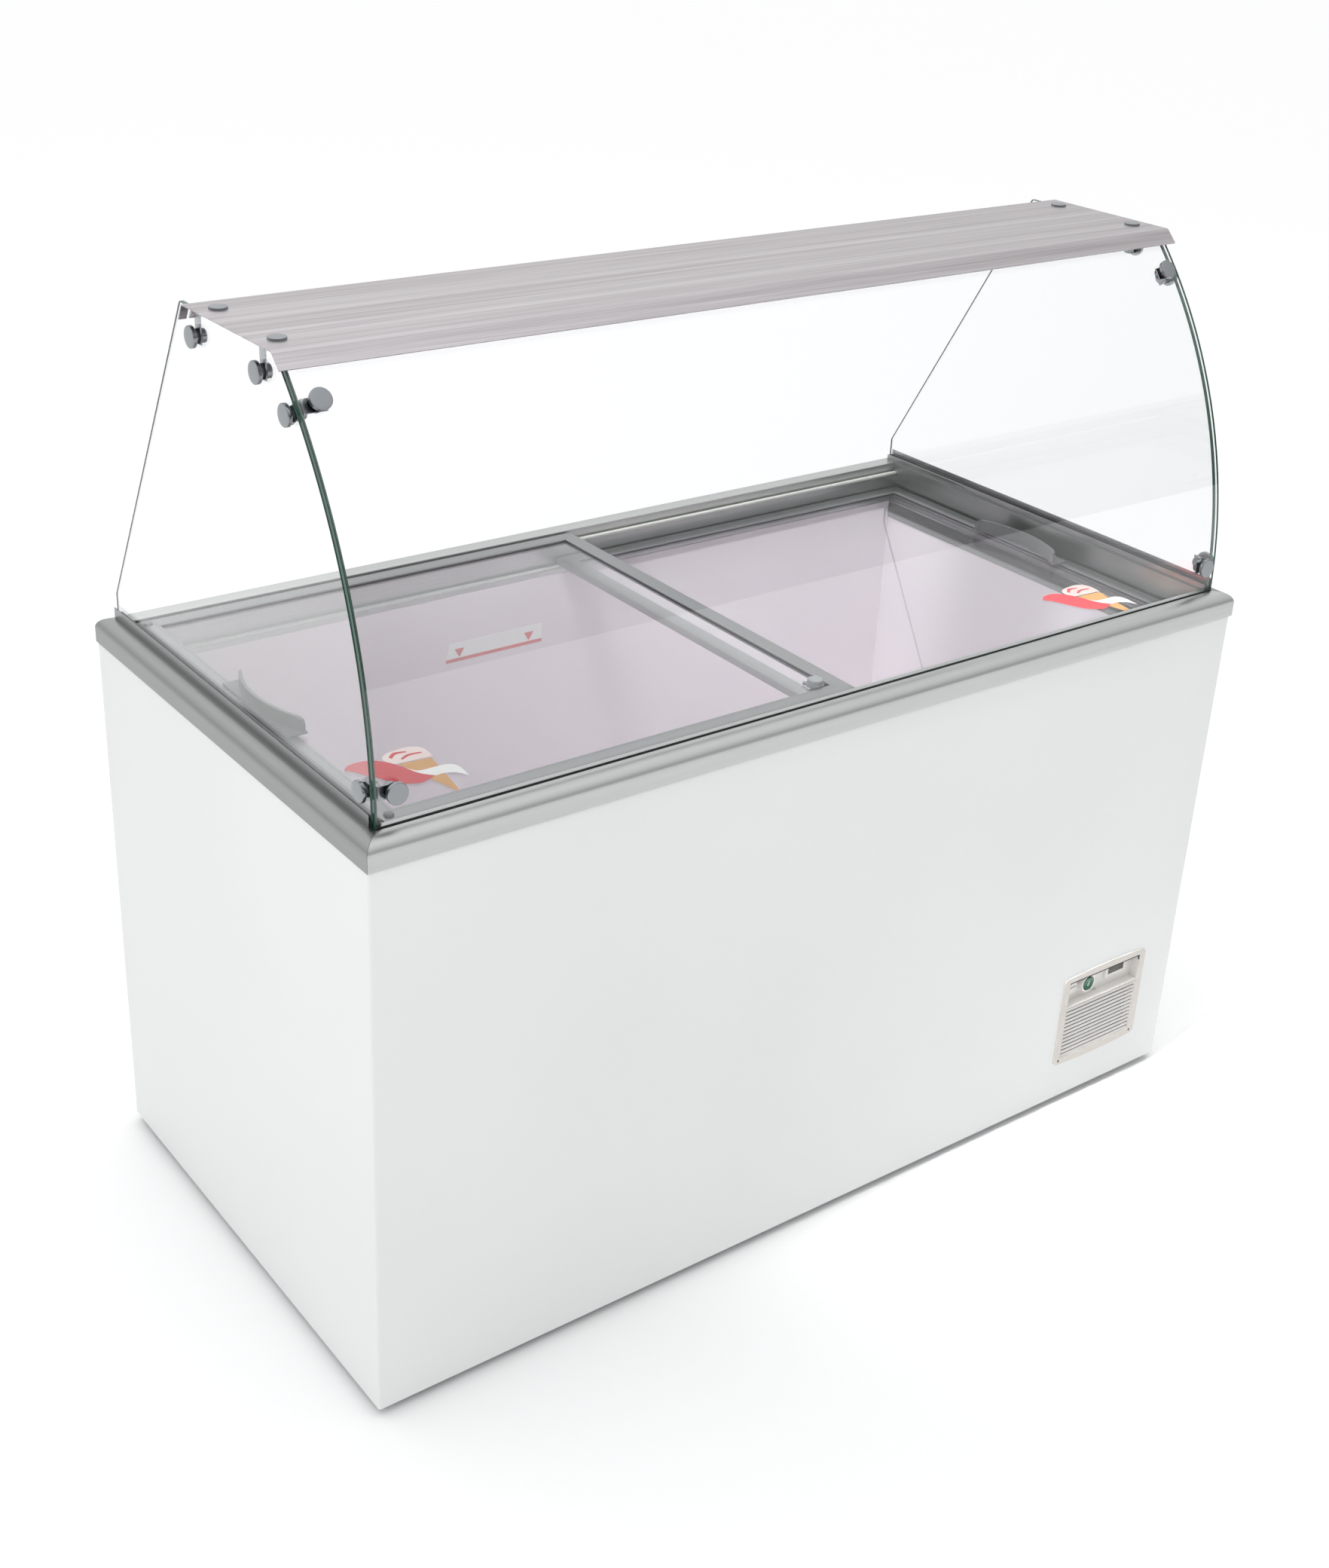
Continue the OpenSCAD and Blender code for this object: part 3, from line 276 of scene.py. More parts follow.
@dataclass(frozen=True)
class Foamed(Finish):
    """Rigid polyurethane foam, cream, with open cells where it was cut."""

    shade: str = "#B79B5C"
    cell_mm: float = 3.0

    def dress(self, tree: bpy.types.NodeTree, shader: bpy.types.Node, place: bpy.types.NodeSocket) -> None:
        """Adds the cells to colour and relief."""
        cells = add_node(tree, "ShaderNodeTexVoronoi", {"Vector": place, "Scale": 1 / (self.cell_mm * MM)})
        self.blend_tones(tree, shader, cells.outputs["Distance"])
        relief(tree, shader, cells.outputs["Distance"], 0.6, 0.5)


@dataclass(frozen=True)
class FloatGlass(Finish):
    """Tempered float glass: clear, a breath of green, with the slow roller wave of the furnace."""

    ior: float = 1.52
    roughness: float = 0.0
    wave_mm: float = 90.0
    wave_depth_mm: float = 0.02

    def dress(self, tree: bpy.types.NodeTree, shader: bpy.types.Node, place: bpy.types.NodeSocket) -> None:
        """Makes the shader pass light and adds the wave."""
        shader.inputs["Transmission Weight"].default_value = 1.0
        relief(tree, shader, noise(tree, place, 1 / (self.wave_mm * MM), 1.0), 0.3, self.wave_depth_mm)

    def outcome(self, tree: bpy.types.NodeTree, shader: bpy.types.Node) -> bpy.types.NodeSocket:
        """Lets lamps shine straight through, as a thin pane does."""
        path = add_node(tree, "ShaderNodeLightPath")
        clear = add_node(tree, "ShaderNodeBsdfTransparent", {0: linear(self.colour)})
        mix = add_node(
            tree,
            "ShaderNodeMixShader",
            {0: path.outputs["Is Shadow Ray"], 1: shader.outputs[0], 2: clear.outputs[0]},
        )
        return mix.outputs[0]


@dataclass(frozen=True)
class GlassEdge(Finish):
    """Ground and polished edge of float glass: light comes out of it a deep bottle green."""

    shade: str = "#04261B"

    def dress(self, tree: bpy.types.NodeTree, shader: bpy.types.Node, place: bpy.types.NodeSocket) -> None:
        """Adds darker and lighter stretches along the edge."""
        self.blend_tones(tree, shader, noise(tree, place, 18.0, 2.0))


@dataclass(frozen=True)
class ClearMoulding(Finish):
    """Clear silicone or vinyl: soft-looking, slightly milky."""

    def dress(self, tree: bpy.types.NodeTree, shader: bpy.types.Node, place: bpy.types.NodeSocket) -> None:
        """Makes the shader pass light, with a milky haze."""
        shader.inputs["Transmission Weight"].default_value = 0.85
        relief(tree, shader, noise(tree, place, 300.0, 2.0), 0.4, 0.05)


PAINT = PowderCoat("powder coated steel, white", "#EFF1F0", roughness=0.38, coat=0.15)
LINER = PowderCoat(
    "embossed liner sheet, lilac white", "#EFE6EB", roughness=0.30, shade="#E2D5DC", peel_mm=7.0, peel_depth_mm=0.25
)
# Painted light and shade: one anodised aluminium, painted lighter on the front and rear bars and darker on the end
# bars, for how light falls on them.
RIM_LIT_X = DrawnMetal("anodised aluminium drawn along X", "#D3D5D3", roughness=0.34, shade="#B7BAB8", contrast=0.3)
RIM_SHADED_Y = DrawnMetal(
    "anodised aluminium drawn along Y", "#A9ACAA", roughness=0.34, shade="#8D908E", grain=Grain.Y, contrast=0.3
)
# Painted light and shade: one mill finish aluminium, painted lighter on the front and rear tracks and darker on the end
# rails and glass channels.
TRACK_LIT_X = DrawnMetal("mill finish aluminium along X", "#D3D6D4", roughness=0.30, shade="#A7AAA9", contrast=0.45)
TRACK_SHADED_Y = DrawnMetal(
    "mill finish aluminium along Y", "#A9ABAB", roughness=0.24, shade="#7C7E7E", grain=Grain.Y, contrast=0.45
)
LID_X = DrawnMetal("satin aluminium lid bar along X", "#A6A7A8", roughness=0.30, shade="#888A8B", contrast=0.3)
LID_Y = DrawnMetal(
    "satin aluminium lid bar along Y", "#A6A7A8", roughness=0.30, shade="#888A8B", grain=Grain.Y, contrast=0.3
)
# Painted shade: a dark strip that stands in for the shade at the top of the liner's end walls, under the end rails.
END_WALL_SHADE = DrawnMetal("brushed steel collar", "#6B6C6C", roughness=0.3, shade="#3E3F3F", grain=Grain.Y)
SHELF = DrawnMetal(
    "brushed stainless steel", "#D9D5D7", roughness=0.34, shade="#A5A0A2", line_mm=1.3, run_mm=190.0, contrast=0.85,
    relief_mm=0.02,
)
CHROME = Plated("chromed brass", "#989C9F", roughness=0.10)
COPPER = Plated("copper tube", "#C77E55", roughness=0.22)
FAN_ALLOY = DrawnMetal("pressed aluminium blade", "#BFC2C4", roughness=0.35, grain=Grain.Z)
ZINC = Spangled("galvanised steel", "#B9BDC0", roughness=0.35)
GRIP = Moulded("ABS grip, grey", "#7A7C7D", roughness=0.32, coat=0.1, shade="#6E7070")
BEZEL = Moulded("ABS bezel, warm white", "#DFDAD4", roughness=0.42, shade="#D3CDC6")
WHITE_ABS = Moulded("ABS, white", "#EFEDEA", roughness=0.36, shade="#E6E3DF")
GREEN_ABS = Moulded("ABS, green", "#046B43", roughness=0.35, shade="#034E31", coat=0.1)
BLUE_ABS = Moulded("polythene plug, blue", "#3C70A8", roughness=0.4, shade="#2F5F94")
NYLON = Moulded("glide strip, natural nylon", "#DEDEDA", roughness=0.45, shade="#CFCFC9")
BLACK_PLASTIC = Moulded("nylon gland, black", "#1C1D1D", roughness=0.5, shade="#131414")
RUBBER = Moulded("EPDM rubber", "#262828", roughness=0.75, shade="#1A1B1B", grain_mm=1.2)
ENAMEL = PowderCoat("stove enamel, black", "#1B1D1E", roughness=0.3, shade="#131515", coat=0.4)
DARK_STEEL = PowderCoat("blackened steel", "#4A4D50", roughness=0.5, shade="#3A3D3F")
BLACK_SCREW = Moulded("blackened screw", "#161616", roughness=0.5, shade="#0F0F0F")
FOAM = Foamed("polyurethane foam", "#E6D6A2", roughness=0.9)
CANOPY_GLASS = FloatGlass("float glass, canopy", "#FDFEFE")
LID_GLASS = FloatGlass("float glass, lid", "#FBFCFD", wave_mm=45.0, wave_depth_mm=0.05)
GLASS_EDGE = GlassEdge("polished glass edge", "#12503D", roughness=0.12, coat=0.3)
SILICONE = ClearMoulding("clear silicone", "#EAF3F3", roughness=0.25, ior=1.41)
LCD = Moulded("liquid crystal panel", "#3E3F33", roughness=0.15, shade="#34352A", coat=0.2)
# Painted shade: a charcoal sheet set behind the louvre's slats and under the tray's top edge, where only shade falls.
PAINTED_SHADE = Moulded("filter fleece, charcoal", "#3B3935", roughness=0.9, shade="#2E2C29", grain_mm=1.5)
LCD_INK = Moulded("liquid crystal segment", "#0E0F0B", roughness=0.3, shade="#12130F")
WHITE_INK = Moulded("white print", "#F4F4F2", roughness=0.45, shade="#EFEFEC")
RED_INK = Moulded("red print", "#D2202F", roughness=0.4, shade="#C01A2A")
WAFER_INK = Moulded("wafer print", "#D9A25E", roughness=0.45, shade="#C98F4B")
CREAM_INK = Moulded("cream print", "#F3E6E0", roughness=0.45, shade="#E9CFCB")


# ---------------------------------------------------------------- mesh building


def piece_from(name: str, shape: bmesh.types.BMesh, *finishes: Finish) -> bpy.types.Object:
    """Turns a built shape into an object at the origin.

    Args:
        name: the piece's name.
        shape: the mesh, which is freed.
        *finishes: one finish for each material index used.

    Returns:
        The new object, linked to the scene.
    """
    mesh = bpy.data.meshes.new(name)
    shape.to_mesh(mesh)
    shape.free()
    for finish in finishes:
        mesh.materials.append(finish.material())
    piece = bpy.data.objects.new(name, mesh)
    bpy.context.scene.collection.objects.link(piece)
    return piece


def settle(piece: bpy.types.Object) -> bpy.types.Object:
    """Bakes a piece's modifiers into a plain mesh and returns the piece."""
    bpy.context.view_layer.update()
    graph = bpy.context.evaluated_depsgraph_get()
    mesh = bpy.data.meshes.new_from_object(
        piece.evaluated_get(graph), preserve_all_data_layers=True, depsgraph=graph
    )
    piece.modifiers.clear()
    piece.data = mesh
    return piece


def smooth(piece: bpy.types.Object, angle: float = 32.0) -> bpy.types.Object:
    """Shades a piece smooth except across edges sharper than angle, in degrees, with flats kept flat."""
    piece.data.shade_smooth()
    piece.data.set_sharp_from_angle(angle=math.radians(angle))
    piece.modifiers.new("flats lead", "WEIGHTED_NORMAL").keep_sharp = True
    return settle(piece)


def soften(piece: bpy.types.Object, width: float, steps: int = 2, angle: float = 32.0) -> bpy.types.Object:
    """Rounds a piece's sharp edges and keeps its flats flat.

    Args:
        piece: the piece.
        width: radius of the rounding.
        steps: facets across it.
        angle: edges sharper than this many degrees are rounded.

    Returns:
        The piece.
    """
    piece.data.shade_smooth()
    bevel = piece.modifiers.new("rounded edges", "BEVEL")
    bevel.width, bevel.segments = width, steps
    bevel.limit_method, bevel.angle_limit = "ANGLE", math.radians(angle)
    piece.modifiers.new("flats lead", "WEIGHTED_NORMAL")
    return settle(piece)


def cut(piece: bpy.types.Object, *cutters: bpy.types.Object) -> bpy.types.Object:
    """Removes the cutters' room from a piece, deletes the cutters and returns the piece."""
    for cutter in cutters:
        hole = piece.modifiers.new("cut", "BOOLEAN")
        hole.operation, hole.solver, hole.object = "DIFFERENCE", "EXACT", cutter
    settle(piece)
    for cutter in cutters:
        bpy.data.objects.remove(cutter)
    return piece


def joined(name: str, parts: Sequence[bpy.types.Object]) -> bpy.types.Object:
    """Joins finished parts into one piece, keeping each part's finishes.

    Args:
        name: the new piece's name.
        parts: the parts, which are removed.

    Returns:
        The joined piece.
    """
    with bpy.context.temp_override(
        active_object=parts[0], object=parts[0], selected_editable_objects=list(parts), selected_objects=list(parts)
    ):
        bpy.ops.object.join()
    parts[0].name = name
    parts[0].data.name = name
    return parts[0]


def prism(outline: Sequence[Point], low: float, high: float, axis: Grain = Grain.Z) -> bmesh.types.BMesh:
    """Builds a straight prism.

    Args:
        outline: its section: (x, y) for axis Z, (y, z) for X and (x, z) for Y.
        low: its start along the axis.
        high: its end along the axis.
        axis: the direction it is drawn along.

    Returns:
        The closed mesh with faces outwards.
    """
    lift: Callable[[float, float, float], tuple] = {
        Grain.X: lambda a, b, t: (t, a, b),
        Grain.Y: lambda a, b, t: (a, t, b),
        Grain.Z: lambda a, b, t: (a, b, t),
    }[axis]
    shape = bmesh.new()
    rings = [[shape.verts.new(lift(a, b, t)) for a, b in outline] for t in (low, high)]
    count = len(outline)
    for ring in rings:
        shape.faces.new(ring)
    for i in range(count):
        j = (i + 1) % count
        shape.faces.new((rings[0][i], rings[0][j], rings[1][j], rings[1][i]))
    bmesh.ops.recalc_face_normals(shape, faces=shape.faces)
    return shape


def slab(low: Vector, high: Vector) -> bmesh.types.BMesh:
    """Builds a box from its lowest and highest corners."""
    corners = [(low.x, low.y), (high.x, low.y), (high.x, high.y), (low.x, high.y)]
    return prism(corners, low.z, high.z)


def lathe(profile: Sequence[Point], steps: int = 48, matrix: Matrix | None = None) -> bmesh.types.BMesh:
    """Turns a profile about Z.

    Args:
        profile: (radius, height) points; radius 0 at an end closes it there.
        steps: facets round the axis.
        matrix: where the turned shape goes.

    Returns:
        The mesh with faces outwards.
    """
    shape = bmesh.new()
    rings = []
    for radius, height in profile:
        if radius < 1e-7:
            rings.append([shape.verts.new((0, 0, height))] * steps)
        else:
            turns = [2 * math.pi * k / steps for k in range(steps)]
            rings.append([shape.verts.new((radius * math.cos(t), radius * math.sin(t), height)) for t in turns])
    for lower, upper in zip(rings, rings[1:]):
        for k in range(steps):
            n = (k + 1) % steps
            corners = list(dict.fromkeys((lower[k], lower[n], upper[n], upper[k])))
            if len(corners) > 2:
                shape.faces.new(corners)
    bmesh.ops.remove_doubles(shape, verts=shape.verts, dist=1e-7)
    bmesh.ops.recalc_face_normals(shape, faces=shape.faces)
    if matrix is not None:
        shape.transform(matrix)
    return shape


def arc(centre: Point, radius: float, start: float, end: float, steps: int = 8) -> list[Point]:
    """Returns points on a circle's arc, from one angle to the other in degrees."""
    angles = [math.radians(start + (end - start) * k / steps) for k in range(steps + 1)]
    return [(centre[0] + radius * math.cos(a), centre[1] + radius * math.sin(a)) for a in angles]


def turned_to(axis: Vector, at: Vector) -> Matrix:
    """Returns the matrix that stands a shape built about +Z at a point, along an axis."""
    return Matrix.Translation(at) @ axis.normalized().to_track_quat("Z", "Y").to_matrix().to_4x4()


def islands(node: str) -> list[list[Vector]]:
    """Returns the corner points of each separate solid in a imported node."""
    shape = bmesh.new()
    shape.from_mesh(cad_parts[node].data)
    bmesh.ops.remove_doubles(shape, verts=shape.verts, dist=1e-6)
    left, found = set(shape.verts), []
    while left:
        stack, group = [left.pop()], []
        while stack:
            vert = stack.pop()
            group.append(vert.co.copy())
            near = {edge.other_vert(vert) for edge in vert.link_edges} & left
            left -= near
            stack.extend(near)
        found.append(group)
    shape.free()
    return sorted(found, key=lambda group: tuple(round(v, 4) for v in middle(group)))


def middle(points: Sequence[Vector]) -> Vector:
    """Returns the mean of some points."""
    return sum(points, Vector()) / len(points)


def softened_copy(node: str, finish: Finish, width: float, name: str | None = None) -> bpy.types.Object:
    """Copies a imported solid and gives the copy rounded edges.

    Args:
        node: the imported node.
        finish: the copy's finish.
        width: radius of the rounding.
        name: the copy's name, or the node's with a plain ending.

    Returns:
        The copy, which still has to be handed over.
    """
    shape = bmesh.new()
    shape.from_mesh(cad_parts[node].data)
    bmesh.ops.remove_doubles(shape, verts=shape.verts, dist=1e-6)
    bmesh.ops.dissolve_limit(shape, angle_limit=math.radians(1), verts=shape.verts, edges=shape.edges)
    for face in shape.faces:
        face.material_index = 0
    return soften(piece_from(name or f"{node}_soft", shape, finish), width)


def hand_over(piece: bpy.types.Object, body: str, *nodes: str, slot: str | None = None) -> bpy.types.Object:
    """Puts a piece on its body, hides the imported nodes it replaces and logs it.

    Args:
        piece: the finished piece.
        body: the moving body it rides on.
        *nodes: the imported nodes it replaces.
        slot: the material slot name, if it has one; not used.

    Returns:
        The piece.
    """
    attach(piece, body)
    if nodes:
        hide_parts(*nodes)
    log.info("%s on %s, %d faces", piece.name, body, len(piece.data.polygons))
    return piece


# ---------------------------------------------------------------- repeated pieces


def new_tree(name: str, inputs: dict[str, str]) -> bpy.types.NodeTree:
    """Starts a geometry tree with a geometry input and output and some named inputs."""
    tree = bpy.data.node_groups.new(name, "GeometryNodeTree")
    tree.interface.new_socket("Geometry", in_out="INPUT", socket_type="NodeSocketGeometry")
    for label, kind in inputs.items():
        tree.interface.new_socket(label, in_out="INPUT", socket_type=kind)
    tree.interface.new_socket("Geometry", in_out="OUTPUT", socket_type="NodeSocketGeometry")
    return tree


def end_tree(tree: bpy.types.NodeTree, entry: bpy.types.Node, copies: bpy.types.Node) -> bpy.types.NodeTree:
    """Ends a tree: the copies are made real and given the finish input."""
    real = add_node(tree, "GeometryNodeRealizeInstances", {0: copies.outputs[0]})
    dressed = add_node(
        tree, "GeometryNodeSetMaterial", {"Geometry": real.outputs[0], "Material": entry.outputs["Finish"]}
    )
    add_node(tree, "NodeGroupOutput", {0: dressed.outputs[0]})
    return tree


def placed_tree() -> bpy.types.NodeTree:
    """Builds the tree that stands a template at every point, turned by the point's own angles."""
    tree = new_tree("template at places", {"Template": "NodeSocketObject", "Finish": "NodeSocketMaterial"})
    entry = add_node(tree, "NodeGroupInput")
    template = add_node(tree, "GeometryNodeObjectInfo", {"Object": entry.outputs["Template"], "As Instance": True})
    angles = add_node(tree, "GeometryNodeInputNamedAttribute", {"Name": "angles"}, data_type="FLOAT_VECTOR")
    turn = add_node(tree, "FunctionNodeEulerToRotation", {0: angles.outputs[0]})
    copies = add_node(
        tree,
        "GeometryNodeInstanceOnPoints",
        {
            "Points": entry.outputs["Geometry"],
            "Instance": template.outputs["Geometry"],
            "Rotation": turn.outputs[0],
        },
    )
    return end_tree(tree, entry, copies)


def row_tree() -> bpy.types.NodeTree:
    """Builds the tree that repeats a template in a straight row."""
    kinds = {
        "Count": "NodeSocketInt",
        "Step": "NodeSocketVector",
        "Template": "NodeSocketObject",
        "Finish": "NodeSocketMaterial",
    }
    tree = new_tree("row of a template", kinds)
    entry = add_node(tree, "NodeGroupInput")
    template = add_node(tree, "GeometryNodeObjectInfo", {"Object": entry.outputs["Template"], "As Instance": True})
    line = add_node(tree, "GeometryNodeMeshLine", {"Count": entry.outputs["Count"], "Offset": entry.outputs["Step"]})
    copies = add_node(
        tree, "GeometryNodeInstanceOnPoints", {"Points": line.outputs[0], "Instance": template.outputs["Geometry"]}
    )
    return end_tree(tree, entry, copies)


def grown(
    name: str,
    host: bpy.types.Object,
    tree: bpy.types.NodeTree,
    template: bpy.types.Object,
    finish: Finish,
    **sizes: int | Vector,
) -> bpy.types.Object:
    """Runs a geometry tree on a host and keeps the result as a plain mesh.

    Args:
        name: the result's name.
        host: the object that carries the tree; it becomes the result.
        tree: the geometry tree.
        template: the shape that is repeated; it is removed.
        finish: the finish of all copies.
        **sizes: further named inputs.

    Returns:
        The result.
    """
    host.name = name
    modifier = host.modifiers.new("repeat", "NODES")
    modifier.node_group = tree
    values = {"Template": template, "Finish": finish.material(), **sizes}
    for item in tree.interface.items_tree:
        if item.in_out == "INPUT" and item.name in values:
            modifier[item.identifier] = values[item.name]
    settle(host)
    bpy.data.objects.remove(template)
    return host


def at_places(name: str, template: bpy.types.Object, places: Sequence[Matrix], finish: Finish) -> bpy.types.Object:
    """Repeats a template, built at the origin about +Z, at several places."""
    mesh = bpy.data.meshes.new(name)
    mesh.from_pydata([m.to_translation() for m in places], [], [])
    angles = mesh.attributes.new("angles", "FLOAT_VECTOR", "POINT")
    angles.data.foreach_set("vector", [v for m in places for v in m.to_euler()])
    host = bpy.data.objects.new(name, mesh)
    bpy.context.scene.collection.objects.link(host)
    return grown(name, host, placed_tree(), template, finish)


def in_a_row(
    name: str, template: bpy.types.Object, count: int, step: Vector, finish: Finish
) -> bpy.types.Object:
    """Repeats a template, built in its first place, in a straight row."""
    host = bpy.data.objects.new(name, bpy.data.meshes.new(name))
    bpy.context.scene.collection.objects.link(host)
    return grown(name, host, row_tree(), template, finish, Count=count, Step=step)


# ---------------------------------------------------------------- cabinet and rim


class End(Enum):
    """An end of the freezer, as the sign of its x."""

    LEFT = -1
    RIGHT = 1

    def node(self, base: str) -> str:
        """Returns the name of this end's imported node."""
        return f"{base}_{self.name.lower()}"


@dataclass
class Cabinet:
    """Powder coated sheet folded round the foam at the front corners, with the panel's window."""

    sheet: float = 1.2 * MM
    fold: float = 3.0 * MM
    window: Point = (154 * MM, 138 * MM)
    screw_hole: float = 2.6 * MM
    screw_off: Point = (76 * MM, 67.5 * MM)

    def skin(self) -> bpy.types.Object:
        """Builds the front and both sides as one folded sheet.

        Returns:
            The skin, handed over.
        """
        low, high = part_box("front_panel")
        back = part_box("left_side_panel")[1].y
        outer = [(low.x, back)]
        outer += arc((low.x + self.fold, low.y + self.fold), self.fold, 180, 270)
        outer += arc((high.x - self.fold, low.y + self.fold), self.fold, 270, 360)
        outer += [(high.x, back), (high.x - self.sheet, back)]
        inside = self.fold - self.sheet
        outer += arc((high.x - self.fold, low.y + self.fold), inside, 360, 270)
        outer += arc((low.x + self.fold, low.y + self.fold), inside, 270, 180)
        outer += [(low.x + self.sheet, back)]
        skin = piece_from("cabinet_skin", prism(outer, low.z, high.z), PAINT)
        cut(skin, *self.openings(low.y))
        return hand_over(
            smooth(skin), "cabinet", "front_panel", "left_side_panel", "right_side_panel", slot="white_enamel"
        )

    def openings(self, face: float) -> list[bpy.types.Object]:
        """Returns cutters for the panel's window and its two lower screws.

        Args:
            face: y of the sheet's outer face.

        Returns:
            The cutters.
        """
        middle_of_panel = sum(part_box("control_bezel"), Vector()) / 2
        reach = 5 * MM
        half = Vector((self.window[0] / 2, reach, self.window[1] / 2))
        centre = Vector((middle_of_panel.x, face, middle_of_panel.z))
        found = [piece_from("window_cutter", slab(centre - half, centre + half))]
        for side in (-1, 1):
            at = centre + Vector((side * self.screw_off[0], reach, -self.screw_off[1]))
            hole = [(0, 0), (self.screw_hole, 0), (self.screw_hole, 2 * reach), (0, 2 * reach)]
            found.append(piece_from("screw_cutter", lathe(hole, 24, turned_to(Vector((0, -1, 0)), at))))
        return found


def mitred_bar(
    section: Sequence[Point], half: float, place: Callable[[float, float, float], Vector], gap: float
) -> bmesh.types.BMesh:
    """Builds a bar with both ends cut at 45 degrees.

    Args:
        section: (inwards, up) points of its section, from the outer edge.
        half: half the length of the outer edge.
        place: puts (along, inwards, up) into the frame's axes.
        gap: how far each end stands back from the mitre.

    Returns:
        The closed mesh with faces outwards.
    """
    shape = bmesh.new()
    rings = [
        [shape.verts.new(place(end * (half - u - gap), u, z)) for u, z in section] for end in (-1, 1)
    ]
    for ring in rings:
        shape.faces.new(ring)
    for i in range(len(section)):
        j = (i + 1) % len(section)
        shape.faces.new((rings[0][i], rings[0][j], rings[1][j], rings[1][i]))
    bmesh.ops.recalc_face_normals(shape, faces=shape.faces)
    return shape


@dataclass
class Rim:
    """Four mitred anodised bars with a rounded shoulder, grooved for the canopy's glass."""

    width: float = 38 * MM
    skirt: float = 34 * MM
    shoulder: Point = (20 * MM, 15 * MM)
    wall: float = 1.8 * MM
    inner_wall: float = 2.5 * MM
    web: float = 22 * MM
    hollow_wall: float = 2.4 * MM
    hollow_reach: float = 17 * MM
    hollow_floor: float = 19.5 * MM
    edge: float = 0.4 * MM
    mitre_gap: float = 0.15 * MM
    groove_in: float = 23 * MM
    groove_wide: float = 8 * MM
    groove_deep: float = 15 * MM

    def ellipse(self, shrink: float, share: float, steps: int) -> list[Point]:
        """Returns the shoulder's curve from the skirt up, for a share of its quarter turn."""
        across, up = self.shoulder
        turns = [math.radians(90 * share * k / steps) for k in range(steps + 1)]
        return [(across - (across - shrink) * math.cos(t), -up + (up - shrink) * math.sin(t)) for t in turns]

    def section(self, drop: float) -> list[Point]:
        """Returns the bar's section, (inwards, up) from its outer top corner."""
        step = self.width - self.inner_wall
        return [
            (0, -self.skirt), *self.ellipse(0, 1, 24), (self.width, 0), (self.width, -drop), (step, -drop),
            (step, -self.web), (self.wall, -self.web), (self.wall, -self.skirt),
        ]

    def hollow(self) -> list[Point]:
        """Returns the section of the hollow that holds the corner keys."""
        curve = self.ellipse(self.hollow_wall, 0.88, 12)
        return [
            (self.hollow_wall, -self.hollow_floor), *curve, (self.hollow_reach, curve[-1][1]),
            (self.hollow_reach, -self.hollow_floor),
        ]

    def grooves(self) -> list[bpy.types.Object]:
        """Returns cutters for the front glass's groove and both side pockets."""
        low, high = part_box("front_glass")
        front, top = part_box("rim_front")[0].y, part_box("rim_front")[1].z
        floor = top - self.groove_deep
        over = 1 * MM
        start = Vector((low.x - over, front + self.groove_in, floor))
        end = Vector((high.x + over, front + self.groove_in + self.groove_wide, top + over))
        found = [piece_from("groove_cutter", slab(start, end))]
        for side in End:
            lo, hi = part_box(f"glass_channel_{side.name.lower()}")
            pocket = slab(Vector((lo.x, lo.y, floor)), Vector((hi.x, hi.y, top + over)))
            found.append(piece_from("pocket_cutter", pocket))
        return found

    def build(self) -> list[bpy.types.Object]:
        """Builds the four bars.

        Returns:
            The bars, handed over.
        """
        low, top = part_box("rim_front")[0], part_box("rim_front")[1].z
        half_x, half_y = -low.x, -low.y
        drop = top - low.z
        # Front and rear bars take the painted-lighter finish, the end bars the painted-darker one.
        runs = {
            "rim_front": (half_x, RIM_LIT_X, lambda t, u, z: (t, -half_y + u, top + z)),
            "rim_rear": (half_x, RIM_LIT_X, lambda t, u, z: (t, half_y - u, top + z)),
            "rim_left": (half_y, RIM_SHADED_Y, lambda t, u, z: (-half_x + u, t, top + z)),
            "rim_right": (half_y, RIM_SHADED_Y, lambda t, u, z: (half_x - u, t, top + z)),
        }
        bars = []
        for node, (half, finish, place) in runs.items():
            bar = piece_from(f"{node}_bar", mitred_bar(self.section(drop), half, place, self.mitre_gap), finish)
            core = piece_from("hollow_cutter", mitred_bar(self.hollow(), half, place, -1 * MM))
            cut(bar, core, *self.grooves())
            bars.append(hand_over(soften(bar, self.edge), "cabinet", node, slot="anodised_rim"))
        return bars


